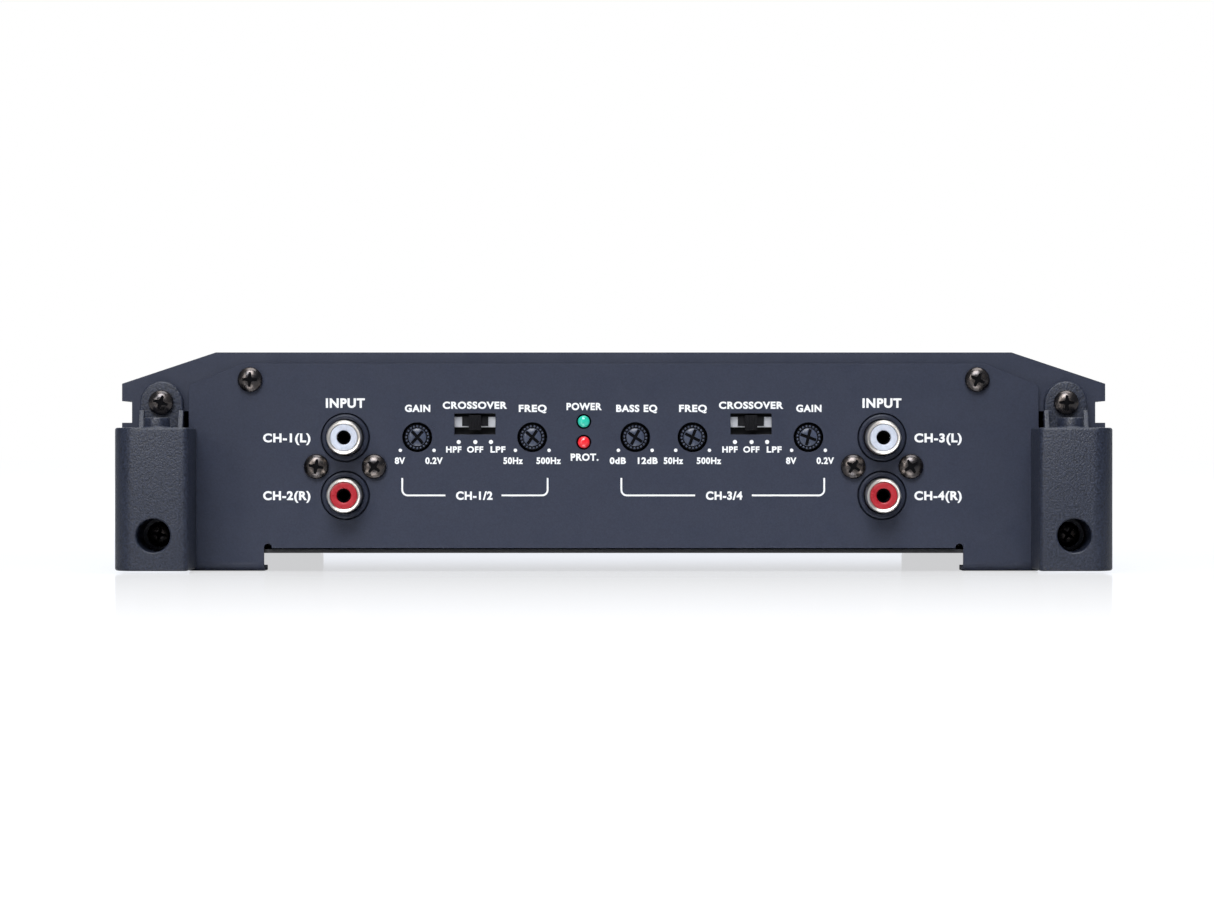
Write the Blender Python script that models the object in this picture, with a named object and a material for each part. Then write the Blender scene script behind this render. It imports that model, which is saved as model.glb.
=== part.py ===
"""A four-channel car amplifier, modelled as the separate pieces that it comes apart into.

Frame: metres, +Z up, origin at the middle of the underside. The control panel faces -Y,
+X is on the right as seen from there, and the extruded heatsink runs along Y.
"""

from math import asin, cos, pi, radians, sin

import bmesh
import bpy
from mathutils import Matrix

# ---------------------------------------------------------------- clearances
GAP = 0.0003  # between two pieces that touch on the real object
BORE_GAP = 0.0003  # round a pin, shank or spigot in its hole, on the radius
MOVING_GAP = 0.0004  # round a piece that turns or slides
ROUND_STEPS = 20  # sides of a large round piece
SMALL_STEPS = 12  # sides of a screw, a bore or a small lens

# ---------------------------------------------------------------- heatsink extrusion
BODY_LENGTH = 0.2494  # along Y, without the end panels
BODY_HALF_WIDTH = 0.1185  # to the tips of the side ribs
TOP_HEIGHT = 0.05265
TOP_WALL = 0.0043
SHOULDER_WIDTH = 0.0226  # the sloping part of the top, each side
SHOULDER_DROP = 0.00755  # from the top down to the shoulder's outer edge
LIP_THICKNESS = 0.0042  # the side lip under the shoulder
HAUNCH_WIDTH = 0.0070  # the slope inside, where the roof meets the inner wall
HAUNCH_DROP = 0.0030
RIB_DEPTH = 0.0024  # how far the side ribs stand out of the side wall
RIB_THICKNESS = 0.0017
RIB_PITCH = 0.0069
SIDE_WALL = 0.0025
INNER_WALL = 0.0034  # the wall that the transistors are clamped to
CORNER_BLOCK_DROP = 0.01415  # from the top down to the roof of the side channel
LOWER_BLOCK_HEIGHT = 0.0085  # solid foot of the side, which takes the lower foot screw

# ---------------------------------------------------------------- bottom cover
COVER_CLEARANCE = 0.0043  # from the surface that the amplifier lies on to the cover
COVER_THICKNESS = 0.0009
COVER_SIDE_INSET = 0.0045  # from the ribs' tips to the cover's long edges
VENT_LENGTH = 0.030
VENT_WIDTH = 0.003
VENT_COUNT = 7
VENT_PITCH = 0.010

# ---------------------------------------------------------------- end panels
PANEL_THICKNESS = 0.0012
PANEL_SIDE_INSET = 0.0162  # from the ribs' tips to the panel's upright edge
PANEL_TOP_INSET = 0.00275
PANEL_SHOULDER_DROP = 0.0049  # from the panel's top down to its shoulder corner
PANEL_SHOULDER_WIDTH = 0.0131  # from its shoulder corner in to its top corner
PANEL_CORNER_RADIUS = 0.0012
FLANGE_WIDTH = 0.0181  # the folded tab at each lower corner
FLANGE_DEPTH = 0.014  # how far the tab runs back under the amplifier
BEND_RADIUS = 0.0014  # inside the fold
RELIEF_WIDTH = 0.0019  # the round-topped bend relief beside each tab
RELIEF_HEIGHT = 0.0011
PANEL_SCREW_SIDE_INSET = 0.0148  # from the panel's upright edge
PANEL_SCREW_DROP = 0.0066  # from the heatsink's top
PANEL_BOSS_RADIUS = 0.0040  # of the screw port that runs along the heatsink's roof

# ---------------------------------------------------------------- screws, M3 pan head
SCREW_HEAD_RADIUS = 0.0030
SCREW_HEAD_HEIGHT = 0.0021
SCREW_RIM_SHARE = 0.45  # the height of the head's rim, as a share of the head's
SCREW_SHANK_RADIUS = 0.00145
SCREW_LENGTH = 0.009
FOOT_SCREW_LENGTH = 0.016
RECESS_WIDTH = 0.0009  # of the cross slot
RECESS_LENGTH = 0.0034
RECESS_DEPTH = 0.0012

# ---------------------------------------------------------------- corner feet
FOOT_PROTRUSION = 0.0235  # in front of the panel
FOOT_LAP = 0.0018  # over the panel's upright edge
FOOT_FRONT_WIDTH = 0.0113  # flat part of the front face
FOOT_FRONT_INSET = 0.0017  # rounding from the inner side to the front face
FOOT_CHAMFER_DEPTH = 0.0085  # of the rounded outer corner, along Y
FOOT_CORNER_OUT = 0.70  # share of that corner's width reached at its middle point
FOOT_CORNER_BACK = 0.36  # share of its depth reached there
FOOT_INNER_ROUND = 0.3  # the same, for the small inner corner
FOOT_UNDERSIDE = 0.0005
FOOT_WALL = 0.0024
FOOT_ROOF = 0.0030
CHANNEL_PORT_RADIUS = 0.0032  # round the ear screw, where it stands into the side channel
EAR_RADIUS = 0.00515
EAR_THICKNESS = 0.0030
EAR_DROP = 0.01215  # from the heatsink's top to the ear screw
EAR_RISE = 0.0061  # from the foot's top to the ear screw
EAR_SIDE_INSET = 0.00975  # from the ribs' tips to the ear screw
GUSSET_THICKNESS = 0.0012
GUSSET_HEIGHT = 0.0043
GUSSET_DEPTH = 0.0045
LOWER_SCREW_HEIGHT = 0.0089
DRIVER_HOLE_RADIUS = 0.0040
DRIVER_HOLE_FLOOR = 0.0058  # material left behind the lower screw's head
MOUNT_HOLE_RADIUS = 0.0021
MOUNT_BOSS_RADIUS = 0.0031
MOUNT_BOSS_RISE = 0.0024
MOUNT_HOLE_REACH = 0.0140  # from the panel's face to the mounting hole
TUBE_WALL = 0.0016  # round each screw passage inside the hollow foot

# ---------------------------------------------------------------- control panel layout
RCA_X = 0.0646
RCA_LOW_HEIGHT = 0.0182
RCA_PITCH = 0.0139
RCA_SCREW_PITCH = 0.0139  # the screws lie on both sides, halfway between the jacks
POT_HEIGHT = 0.0322
POT_X = {  # one for each trimmer, by name
    "gain_12": -0.0473,
    "freq_12": -0.0196,
    "bass_eq": 0.0052,
    "freq_34": 0.0190,
    "gain_34": 0.0469,
}
SWITCH_HEIGHT = 0.0354
SWITCH_X = {"crossover_12": -0.0334, "crossover_34": 0.0331}
LED_X = -0.0072
LED_HEIGHT = {"power": 0.0360, "protect": 0.0310}

# ---------------------------------------------------------------- phono jacks
RCA_BEZEL_WALL = 0.0012  # of the round collar outside each barrel
RCA_BEZEL_RISE = 0.0008  # in front of the panel
RCA_SHELL_RADIUS = 0.00415
RCA_SHELL_WALL = 0.0005
RCA_SHELL_RISE = 0.0080
RCA_SHELL_DEPTH = 0.0070  # behind the panel's face
RCA_INSERT_SET_BACK = 0.0004
RCA_INSERT_CHAMFER = 0.0002
RCA_PIN_HOLE_RADIUS = 0.0017
RCA_PIN_HOLE_DEPTH = 0.0090
RCA_BLOCK_HALF_WIDTH = 0.0100
RCA_BLOCK_TOP_MARGIN = 0.0064  # above the upper jack
RCA_BLOCK_DEPTH = 0.0120
RCA_SCREW_BORE_DEPTH = 0.0090

# ---------------------------------------------------------------- trimmers
KNOB_RADIUS = 0.0031
KNOB_CLEARANCE = 0.0005  # round the adjuster in its panel hole
KNOB_TEETH = 12
KNOB_TOOTH_DEPTH = 0.00025
KNOB_LENGTH = 0.0062
KNOB_SET_BACK = 0.0002  # behind the panel's face
KNOB_SLOT_WIDTH = 0.0008
KNOB_SLOT_LENGTH = 0.0040
KNOB_SLOT_DEPTH = 0.0010
KNOB_SLOT_ANGLE = radians(25)
KNOB_STUB_RADIUS = 0.0017
KNOB_STUB_LENGTH = 0.0035
POT_BODY_HALF = 0.00475
POT_BODY_DEPTH = 0.0055

# ---------------------------------------------------------------- slide switches
SLIDER_TRAVEL = 0.0030  # each way from the middle position
SLIDER_HALF_WIDTH = 0.00145
SLIDER_HALF_HEIGHT = 0.0019
SLIDER_RISE = 0.0016  # in front of the panel
SLIDER_END_CLEARANCE = 0.0005  # from its knob's end position to the opening
SLIDER_SIDE_CLEARANCE = 0.00065
SLIDER_RIB_SPREAD = 0.6  # how far out the outer grooves lie, as a share of its half width
CARRIER_HALF_WIDTH = 0.00315
CARRIER_HALF_HEIGHT = 0.0021
CARRIER_DEPTH = 0.0022
SWITCH_WALL = 0.0012
SWITCH_FLOOR = 0.0025

# ---------------------------------------------------------------- indicator lights
LED_RADIUS = 0.0015
LED_RISE = 0.0006
LED_DOME = 0.5  # the dome's height, as a share of the radius
LED_FLANGE_RADIUS = 0.0019
LED_FLANGE_SET_BACK = 0.0010  # behind the panel's back

# ---------------------------------------------------------------- boards and inner parts
BOARD_CLEARANCE = 0.0038  # from the bottom cover up to the main board
BOARD_THICKNESS = 0.0016
BOARD_END_INSET = 0.0060
BOARD_SIDE_INSET = 0.0030
BOARD_HOLE_RADIUS = 0.0018
BOARD_HOLE_SIDE_INSET = 0.0080
BOARD_HOLE_END_INSET = 0.0240
CONTROL_BOARD_HALF_WIDTH = 0.0525
CONTROL_BOARD_HEADROOM = 0.0060  # from its top edge to the heatsink's roof
TOROID_RADIUS = 0.0200
TOROID_HOLE_RADIUS = 0.0075
TOROID_HEIGHT = 0.0180
TOROID_SIDES = 10  # round its cross-section
TOROID_SQUARENESS = 0.7  # 1 is a round cross-section, less is squarer
TOROID_PLACE = (0.030, 0.012)
CAPACITOR_RADIUS = 0.0090
CAPACITOR_HEADROOM = 0.0045
CAPACITOR_EDGE = 0.0008  # chamfer of its rim, and depth of its rolled groove
CAPACITOR_GROOVE_RISE = 0.0010  # half of the groove's height
CAPACITOR_GROOVE_SHARE = 0.12  # of its height, from its foot to the groove
CAPACITOR_PLACE = (-0.022, 0.058)
CLAMP_LENGTH = 0.150
CLAMP_THICKNESS = 0.0030
CLAMP_HEIGHT = 0.0120
CLAMP_FOOT = 0.0060  # from the main board to the clamp
TRANSISTOR_THICKNESS = 0.0048  # between the clamp and the inner wall

# ---------------------------------------------------------------- rear connections
TERMINAL_RISE = 0.0090  # behind the rear panel's face
TERMINAL_DEPTH = 0.0120  # in front of it, inside
TERMINAL_HEIGHT = 0.0160
TERMINAL_SPACING = 0.0100  # between two blocks
POWER_WAYS = 3
POWER_WAY_WIDTH = 0.0090
POWER_WAY_PITCH = 0.0120
POWER_WAY_HEIGHT = 0.0085
POWER_WAY_DEPTH = 0.0130
POWER_SCREW_HOLE_RADIUS = 0.0030
SPEAKER_WAYS = 8
SPEAKER_WAY_WIDTH = 0.0074
SPEAKER_WAY_PITCH = 0.0092
SPEAKER_WAY_DEPTH = 0.0075
SPEAKER_SHELF = 0.0040  # under the ways
TERMINAL_WALL = 0.0016
FUSE_HALF_WIDTH = 0.00955
FUSE_HALF_HEIGHT = 0.00255
FUSE_BODY_LENGTH = 0.0120
FUSE_GRIP_LENGTH = 0.0035  # the thinner outer end of the body
FUSE_GRIP_SHARE = 0.7  # its thickness, as a share of the body's
FUSE_SEAT_DEPTH = 0.0040  # how far its body sits in the holder
FUSE_BLADE_WIDTH = 0.0052
FUSE_BLADE_THICKNESS = 0.0008
FUSE_BLADE_LENGTH = 0.0068
FUSE_BLADE_SPREAD = 0.0046  # from the middle to each blade's centre
FUSE_HOLDER_WALL = 0.0022
OPENING_GAP = 0.0004  # round each block in the rear panel

# ---------------------------------------------------------------- worked out from the above
BODY_END = BODY_LENGTH / 2
PANEL_BACK = BODY_END + GAP  # distances out from the middle, at either end
PANEL_FACE = PANEL_BACK + PANEL_THICKNESS
FOOT_FACE = PANEL_FACE + FOOT_PROTRUSION
MOUNT_Y = PANEL_FACE + MOUNT_HOLE_REACH
COVER_TOP = COVER_CLEARANCE + COVER_THICKNESS
BODY_UNDERSIDE = COVER_TOP + GAP
PANEL_UNDERSIDE = COVER_TOP + GAP
ROOF = TOP_HEIGHT - TOP_WALL
SHOULDER_HEIGHT = TOP_HEIGHT - SHOULDER_DROP
LIP_UNDERSIDE = SHOULDER_HEIGHT - LIP_THICKNESS
CHANNEL_ROOF = TOP_HEIGHT - CORNER_BLOCK_DROP
CHANNEL_FLOOR = BODY_UNDERSIDE + LOWER_BLOCK_HEIGHT
PANEL_HALF_WIDTH = BODY_HALF_WIDTH - PANEL_SIDE_INSET
PANEL_TOP = TOP_HEIGHT - PANEL_TOP_INSET
PANEL_SCREW_X = PANEL_HALF_WIDTH - PANEL_SCREW_SIDE_INSET
PANEL_SCREW_HEIGHT = TOP_HEIGHT - PANEL_SCREW_DROP
TOP_FLAT_HALF_WIDTH = BODY_HALF_WIDTH - SHOULDER_WIDTH
SIDE_WALL_X = BODY_HALF_WIDTH - RIB_DEPTH
CHANNEL_OUTER_X = SIDE_WALL_X - SIDE_WALL
CHANNEL_INNER_X = PANEL_HALF_WIDTH - 3 * GAP
INNER_WALL_X = CHANNEL_INNER_X - INNER_WALL
EAR_X = BODY_HALF_WIDTH - EAR_SIDE_INSET
EAR_HEIGHT = TOP_HEIGHT - EAR_DROP
FOOT_TOP = EAR_HEIGHT - EAR_RISE
BORE_RADIUS = SCREW_SHANK_RADIUS + BORE_GAP
BOARD_UNDERSIDE = COVER_TOP + BOARD_CLEARANCE
BOARD_TOP = BOARD_UNDERSIDE + BOARD_THICKNESS
ON_BOARD = BOARD_TOP + GAP
RCA_SCREW_HEIGHT = RCA_LOW_HEIGHT + RCA_PITCH / 2
RCA_HEIGHTS = (RCA_LOW_HEIGHT + RCA_PITCH, RCA_LOW_HEIGHT)
RCA_BEZEL_RADIUS = RCA_SHELL_RADIUS + BORE_GAP + RCA_BEZEL_WALL
POT_HOLE_RADIUS = KNOB_RADIUS + KNOB_CLEARANCE
SWITCH_OPENING_HALF_WIDTH = SLIDER_HALF_WIDTH + SLIDER_TRAVEL + SLIDER_END_CLEARANCE
SWITCH_OPENING_HALF_HEIGHT = SLIDER_HALF_HEIGHT + SLIDER_SIDE_CLEARANCE
KNOB_FACE = PANEL_FACE - KNOB_SET_BACK
POT_FACE = KNOB_FACE - KNOB_LENGTH - GAP
POT_BACK = POT_FACE - POT_BODY_DEPTH
CONTROL_BOARD_FACE = POT_BACK - GAP
CARRIER_FACE = PANEL_BACK - MOVING_GAP
SWITCH_FACE = PANEL_BACK - GAP
SWITCH_CAVITY_HALF_WIDTH = CARRIER_HALF_WIDTH + SLIDER_TRAVEL + MOVING_GAP
SWITCH_CAVITY_HALF_HEIGHT = CARRIER_HALF_HEIGHT + MOVING_GAP
SWITCH_CAVITY_DEPTH = CARRIER_DEPTH + 2 * MOVING_GAP
TERMINAL_BASE = ON_BOARD
TERMINAL_TOP = TERMINAL_BASE + TERMINAL_HEIGHT


# ---------------------------------------------------------------- materials
def material(name, colour, roughness, metallic=0.0):
    """A Principled material with the piece's colour, in linear light."""
    made = bpy.data.materials.new(name)
    made.use_nodes = True
    shader = made.node_tree.nodes["Principled BSDF"]
    shader.inputs["Base Color"].default_value = (*colour, 1.0)
    shader.inputs["Roughness"].default_value = roughness
    shader.inputs["Metallic"].default_value = metallic
    return made


def materials():
    """Every finish on the amplifier, by name."""
    return {
        "painted_metal": material("painted_metal", (0.066, 0.074, 0.118), 0.55, 0.2),
        "black_steel": material("black_steel", (0.012, 0.012, 0.014), 0.5, 0.4),
        "screw_steel": material("screw_steel", (0.045, 0.042, 0.042), 0.28, 0.9),
        "foot_plastic": material("foot_plastic", (0.030, 0.032, 0.045), 0.6),
        "black_plastic": material("black_plastic", (0.012, 0.012, 0.013), 0.5),
        "nickel": material("nickel", (0.72, 0.69, 0.64), 0.22, 1.0),
        "white_plastic": material("white_plastic", (0.75, 0.77, 0.82), 0.4),
        "red_plastic": material("red_plastic", (0.62, 0.03, 0.04), 0.4),
        "green_lens": material("green_lens", (0.02, 0.55, 0.42), 0.2),
        "red_lens": material("red_lens", (0.80, 0.03, 0.05), 0.2),
        "board": material("board", (0.01, 0.09, 0.04), 0.5),
        "ferrite": material("ferrite", (0.36, 0.15, 0.05), 0.4),
        "capacitor_sleeve": material("capacitor_sleeve", (0.02, 0.03, 0.10), 0.35),
        "aluminium": material("aluminium", (0.60, 0.61, 0.62), 0.35, 1.0),
        "fuse_plastic": material("fuse_plastic", (0.75, 0.22, 0.02), 0.25),
    }


# ---------------------------------------------------------------- shapes
def arc(centre, radius, start, end, steps):
    """Points along an arc, both ends included."""
    angles = [start + (end - start) * i / steps for i in range(steps + 1)]
    return [(centre[0] + radius * cos(a), centre[1] + radius * sin(a)) for a in angles]


def circle(centre, radius, steps=SMALL_STEPS):
    """A closed round outline."""
    return arc(centre, radius, 0.0, 2 * pi, steps)[:-1]


def rectangle(low_x, high_x, low_y, high_y):
    """A closed four-sided outline."""
    return [(low_x, low_y), (high_x, low_y), (high_x, high_y), (low_x, high_y)]


def mirrored(points):
    """A right half-outline, with its mirror image added to close it."""
    return points + [(-x, y) for x, y in reversed(points)]


def placed(mesh, matrix):
    """The mesh moved by a matrix; a mirroring one keeps its faces pointing out."""
    work = bmesh.new()
    work.from_mesh(mesh)
    bmesh.ops.transform(work, matrix=matrix, verts=work.verts)
    if matrix.determinant() < 0:
        bmesh.ops.reverse_faces(work, faces=work.faces)
    work.to_mesh(mesh)
    work.free()
    return mesh


def axes(across, up, along):
    """The rotation that turns X, Y and Z into the three given directions."""
    return Matrix((across, up, along)).transposed().to_4x4()


PLANES = {  # the outline's own X and Y, and the direction that it is extruded in
    "XY": axes((1, 0, 0), (0, 1, 0), (0, 0, 1)),
    "XZ": axes((1, 0, 0), (0, 0, 1), (0, -1, 0)),
    "YZ": axes((0, 1, 0), (0, 0, 1), (1, 0, 0)),
}


def extruded(outlines, plane, low, high):
    """A solid from an outer outline and any holes, filled and extruded from low to high."""
    curve = bpy.data.curves.new("outline", "CURVE")
    curve.dimensions = "2D"
    curve.fill_mode = "BOTH"
    curve.extrude = (high - low) / 2
    for outline in outlines:
        spline = curve.splines.new("POLY")
        spline.points.add(len(outline) - 1)
        for point, (x, y) in zip(spline.points, outline):
            point.co = (x, y, 0.0, 1.0)
        spline.use_cyclic_u = True
    holder = bpy.data.objects.new("outline", curve)
    mesh = bpy.data.meshes.new_from_object(holder)
    bpy.data.objects.remove(holder)
    bpy.data.curves.remove(curve)
    weld(mesh)
    turn = PLANES[plane]
    middle = (low + high) / 2 * (-1 if plane == "XZ" else 1)
    return placed(mesh, turn @ Matrix.Translation((0, 0, middle)))


def weld(mesh):
    """Joins the points that caps and sides share, and turns every face outwards."""
    work = bmesh.new()
    work.from_mesh(mesh)
    bmesh.ops.remove_doubles(work, verts=work.verts, dist=1e-6)
    bmesh.ops.recalc_face_normals(work, faces=work.faces)
    work.to_mesh(mesh)
    work.free()


def box(low, high):
    """A block between two corners."""
    outline = rectangle(low[0], high[0], low[1], high[1])
    return extruded([outline], "XY", low[2], high[2])


def turned(profile, steps=SMALL_STEPS, closed=False):
    """A solid of revolution about -Y: the profile holds (radius, distance towards -Y)."""
    work = bmesh.new()
    points = [work.verts.new((radius, -reach, 0.0)) for radius, reach in profile]
    ends = zip(points, points[1:] + points[:1]) if closed else zip(points, points[1:])
    edges = [work.edges.new(pair) for pair in ends]
    bmesh.ops.spin(
        work,
        geom=points + edges,
        axis=(0, 1, 0),
        cent=(0, 0, 0),
        angle=2 * pi,
        steps=steps,
        use_merge=True,
    )
    bmesh.ops.remove_doubles(work, verts=work.verts, dist=1e-6)
    bmesh.ops.recalc_face_normals(work, faces=work.faces)
    mesh = bpy.data.meshes.new("turned")
    work.to_mesh(mesh)
    work.free()
    return mesh


def combined(mesh, others, operation):
    """The mesh with each of the others cut away or joined on, by exact Booleans."""
    base = bpy.data.objects.new("base", mesh)
    bpy.context.scene.collection.objects.link(base)
    helpers = []
    for other in others:
        helper = bpy.data.objects.new("helper", other)
        helper.hide_render = True
        helper.display_type = "WIRE"
        bpy.context.scene.collection.objects.link(helper)
        step = base.modifiers.new("step", "BOOLEAN")
        step.operation = operation
        step.solver = "EXACT"
        step.object = helper
        helpers.append(helper)
    bpy.context.view_layer.update()
    evaluated = base.evaluated_get(bpy.context.evaluated_depsgraph_get())
    result = bpy.data.meshes.new_from_object(evaluated)
    for made in [base, *helpers]:
        bpy.data.objects.remove(made)
    return result


def cut(mesh, *cutters):
    """The mesh with the cutters taken away."""
    return combined(mesh, cutters, "DIFFERENCE")


def crossed_bars(length, width, angle, depth):
    """Two crossed cutters for a driver slot, reaching the same depth either side of Y = 0."""
    bars = []
    for turn in (angle, angle + pi / 2):
        bar = box((-length / 2, -depth, -width / 2), (length / 2, depth, width / 2))
        bars.append(placed(bar, Matrix.Rotation(turn, 4, "Y")))
    return bars


def joined(mesh, *others):
    """The mesh with the others joined on."""
    return combined(mesh, others, "UNION")


def add(name, mesh, finish, location=(0, 0, 0), turn=0.0, axle=None, sharp=radians(32)):
    """Puts one named piece in the scene; turn is about Z, and axle is a parent empty."""
    mesh.name = name
    mesh.materials.clear()
    mesh.materials.append(finish)
    mesh.shade_smooth()
    mesh.set_sharp_from_angle(angle=sharp)
    piece = bpy.data.objects.new(name, mesh)
    bpy.context.scene.collection.objects.link(piece)
    piece.parent = axle
    piece.location = location
    piece.rotation_euler = (0, 0, turn)
    return piece


def joint(name, location):
    """An empty on a joint's axis, which carries the moving piece."""
    empty = bpy.data.objects.new(name, None)
    empty.empty_display_size = 0.005
    empty.location = location
    bpy.context.scene.collection.objects.link(empty)
    return empty


# ---------------------------------------------------------------- casing
def side_ribs():
    """The stepped outer side, from the lip down to the underside."""
    points = [(BODY_HALF_WIDTH, LIP_UNDERSIDE), (SIDE_WALL_X, LIP_UNDERSIDE)]
    top = LIP_UNDERSIDE - RIB_PITCH + RIB_THICKNESS
    while top - RIB_THICKNESS > BODY_UNDERSIDE + RIB_THICKNESS:
        points += [(SIDE_WALL_X, top), (BODY_HALF_WIDTH, top)]
        points += [(BODY_HALF_WIDTH, top - RIB_THICKNESS), (SIDE_WALL_X, top - RIB_THICKNESS)]
        top -= RIB_PITCH
    return points + [(SIDE_WALL_X, BODY_UNDERSIDE)]


def heatsink():
    """The extruded aluminium body: roof, shoulders, ribbed sides and screw ports."""
    rise = ROOF - PANEL_SCREW_HEIGHT
    swing = asin(rise / PANEL_BOSS_RADIUS)
    screw = (PANEL_SCREW_X, PANEL_SCREW_HEIGHT)
    boss = arc(screw, PANEL_BOSS_RADIUS, swing, -pi - swing, 10)
    half = [(TOP_FLAT_HALF_WIDTH, TOP_HEIGHT), (BODY_HALF_WIDTH, SHOULDER_HEIGHT)]
    half += side_ribs()
    half += [(INNER_WALL_X, BODY_UNDERSIDE), (INNER_WALL_X, ROOF - HAUNCH_DROP)]
    half += [(INNER_WALL_X - HAUNCH_WIDTH, ROOF)]
    half += boss
    outlines = [mirrored(half)]
    dip = asin((EAR_HEIGHT - CHANNEL_ROOF) / CHANNEL_PORT_RADIUS)
    port = arc((EAR_X, EAR_HEIGHT), CHANNEL_PORT_RADIUS, -dip, -pi + dip, 6)
    channel = [
        (CHANNEL_OUTER_X, CHANNEL_FLOOR),
        (CHANNEL_OUTER_X, CHANNEL_ROOF),
        *port,
        (CHANNEL_INNER_X, CHANNEL_ROOF),
        (CHANNEL_INNER_X, CHANNEL_FLOOR),
    ]
    for side in (1, -1):
        outlines.append([(side * x, z) for x, z in channel])
        outlines.append(circle((side * PANEL_SCREW_X, PANEL_SCREW_HEIGHT), BORE_RADIUS))
        outlines.append(circle((side * EAR_X, EAR_HEIGHT), BORE_RADIUS))
        outlines.append(circle((side * EAR_X, LOWER_SCREW_HEIGHT), BORE_RADIUS))
    return extruded(outlines, "XZ", -BODY_END, BODY_END)


def cover():
    """The flat steel bottom cover, with a row of vent slots across its middle."""
    half_width = BODY_HALF_WIDTH - COVER_SIDE_INSET
    outlines = [rectangle(-half_width, half_width, -BODY_END, BODY_END)]
    for row in range(VENT_COUNT):
        y = (row - (VENT_COUNT - 1) / 2) * VENT_PITCH
        centres = ((-VENT_LENGTH / 2, pi / 2, 3 * pi / 2), (VENT_LENGTH / 2, -pi / 2, pi / 2))
        slot = []
        for x, start, end in centres:
            slot += arc((x, y), VENT_WIDTH / 2, start, end, 4)
        outlines.append(slot)
    return extruded(outlines, "XY", COVER_CLEARANCE, COVER_TOP)


def panel_outline():
    """An end panel's outline down to where its lower tabs start to fold."""
    fold = BEND_RADIUS + PANEL_THICKNESS
    tab_inner = PANEL_HALF_WIDTH - FLANGE_WIDTH
    relief_middle = tab_inner - RELIEF_WIDTH / 2
    relief = arc(
        (relief_middle, PANEL_UNDERSIDE + RELIEF_HEIGHT - RELIEF_WIDTH / 2),
        RELIEF_WIDTH / 2,
        0.0,
        pi,
        6,
    )
    shoulder = PANEL_TOP - PANEL_SHOULDER_DROP
    radius = PANEL_CORNER_RADIUS
    corner = arc((PANEL_HALF_WIDTH - radius, shoulder - radius), radius, pi / 3, 0.0, 4)
    half = [(PANEL_HALF_WIDTH - PANEL_SHOULDER_WIDTH, PANEL_TOP), *corner]
    half += [(PANEL_HALF_WIDTH, fold), (tab_inner, fold)]
    half += relief
    half += [(relief_middle - RELIEF_WIDTH / 2, PANEL_UNDERSIDE)]
    return mirrored(half)


def folded_tabs(mesh, reach):
    """Both lower tabs, bent under the amplifier: reach is -1 at the front, 1 at the rear."""
    work = bmesh.new()
    work.from_mesh(mesh)
    fold = BEND_RADIUS + PANEL_THICKNESS
    tabs = [f for f in work.faces if all(abs(v.co.z - fold) < 1e-6 for v in f.verts)]
    for tab in tabs:
        bent = bmesh.ops.spin(
            work,
            geom=[tab],
            axis=(1, 0, 0),
            cent=(0, reach * (PANEL_BACK - BEND_RADIUS), fold),
            angle=-reach * pi / 2,
            steps=5,
        )
        bmesh.ops.delete(work, geom=[tab], context="FACES_ONLY")
        end = [g for g in bent["geom_last"] if isinstance(g, bmesh.types.BMFace)]
        run = bmesh.ops.extrude_face_region(work, geom=end)
        points = [g for g in run["geom"] if isinstance(g, bmesh.types.BMVert)]
        back = -reach * (FLANGE_DEPTH - fold)
        bmesh.ops.translate(work, verts=points, vec=(0, back, 0))
        bmesh.ops.delete(work, geom=end, context="FACES_ONLY")
    bmesh.ops.recalc_face_normals(work, faces=work.faces)
    work.to_mesh(mesh)
    work.free()
    return mesh


def panel_screw_holes():
    """The two holes near the top corners, which both end panels have."""
    sides = (-PANEL_SCREW_X, PANEL_SCREW_X)
    return [circle((x, PANEL_SCREW_HEIGHT), BORE_RADIUS) for x in sides]


def front_panel():
    """The control panel, with a hole for every jack, trimmer, switch, light and screw."""
    outlines = [panel_outline(), *panel_screw_holes()]
    for side in (-1, 1):
        for height in RCA_HEIGHTS:
            outlines.append(circle((side * RCA_X, height), RCA_BEZEL_RADIUS + GAP, ROUND_STEPS))
        for screw in (-1, 1):
            x = side * RCA_X + screw * RCA_SCREW_PITCH / 2
            outlines.append(circle((x, RCA_SCREW_HEIGHT), BORE_RADIUS))
    for x in POT_X.values():
        outlines.append(circle((x, POT_HEIGHT), POT_HOLE_RADIUS, ROUND_STEPS))
    for x in SWITCH_X.values():
        outlines.append(
            rectangle(
                x - SWITCH_OPENING_HALF_WIDTH,
                x + SWITCH_OPENING_HALF_WIDTH,
                SWITCH_HEIGHT - SWITCH_OPENING_HALF_HEIGHT,
                SWITCH_HEIGHT + SWITCH_OPENING_HALF_HEIGHT,
            )
        )
    for height in LED_HEIGHT.values():
        outlines.append(circle((LED_X, height), LED_RADIUS + GAP))
    plate = extruded(outlines, "XZ", -PANEL_FACE, -PANEL_BACK)
    return folded_tabs(plate, -1)


def rear_panel():
    """The connection panel, with one opening for each block of terminals."""
    outlines = [panel_outline(), *panel_screw_holes()]
    for x, half in rear_row().values():
        outlines.append(
            rectangle(
                x - half - OPENING_GAP,
                x + half + OPENING_GAP,
                TERMINAL_BASE - OPENING_GAP,
                TERMINAL_TOP + OPENING_GAP,
            )
        )
    plate = extruded(outlines, "XZ", PANEL_BACK, PANEL_FACE)
    return folded_tabs(plate, 1)


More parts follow.
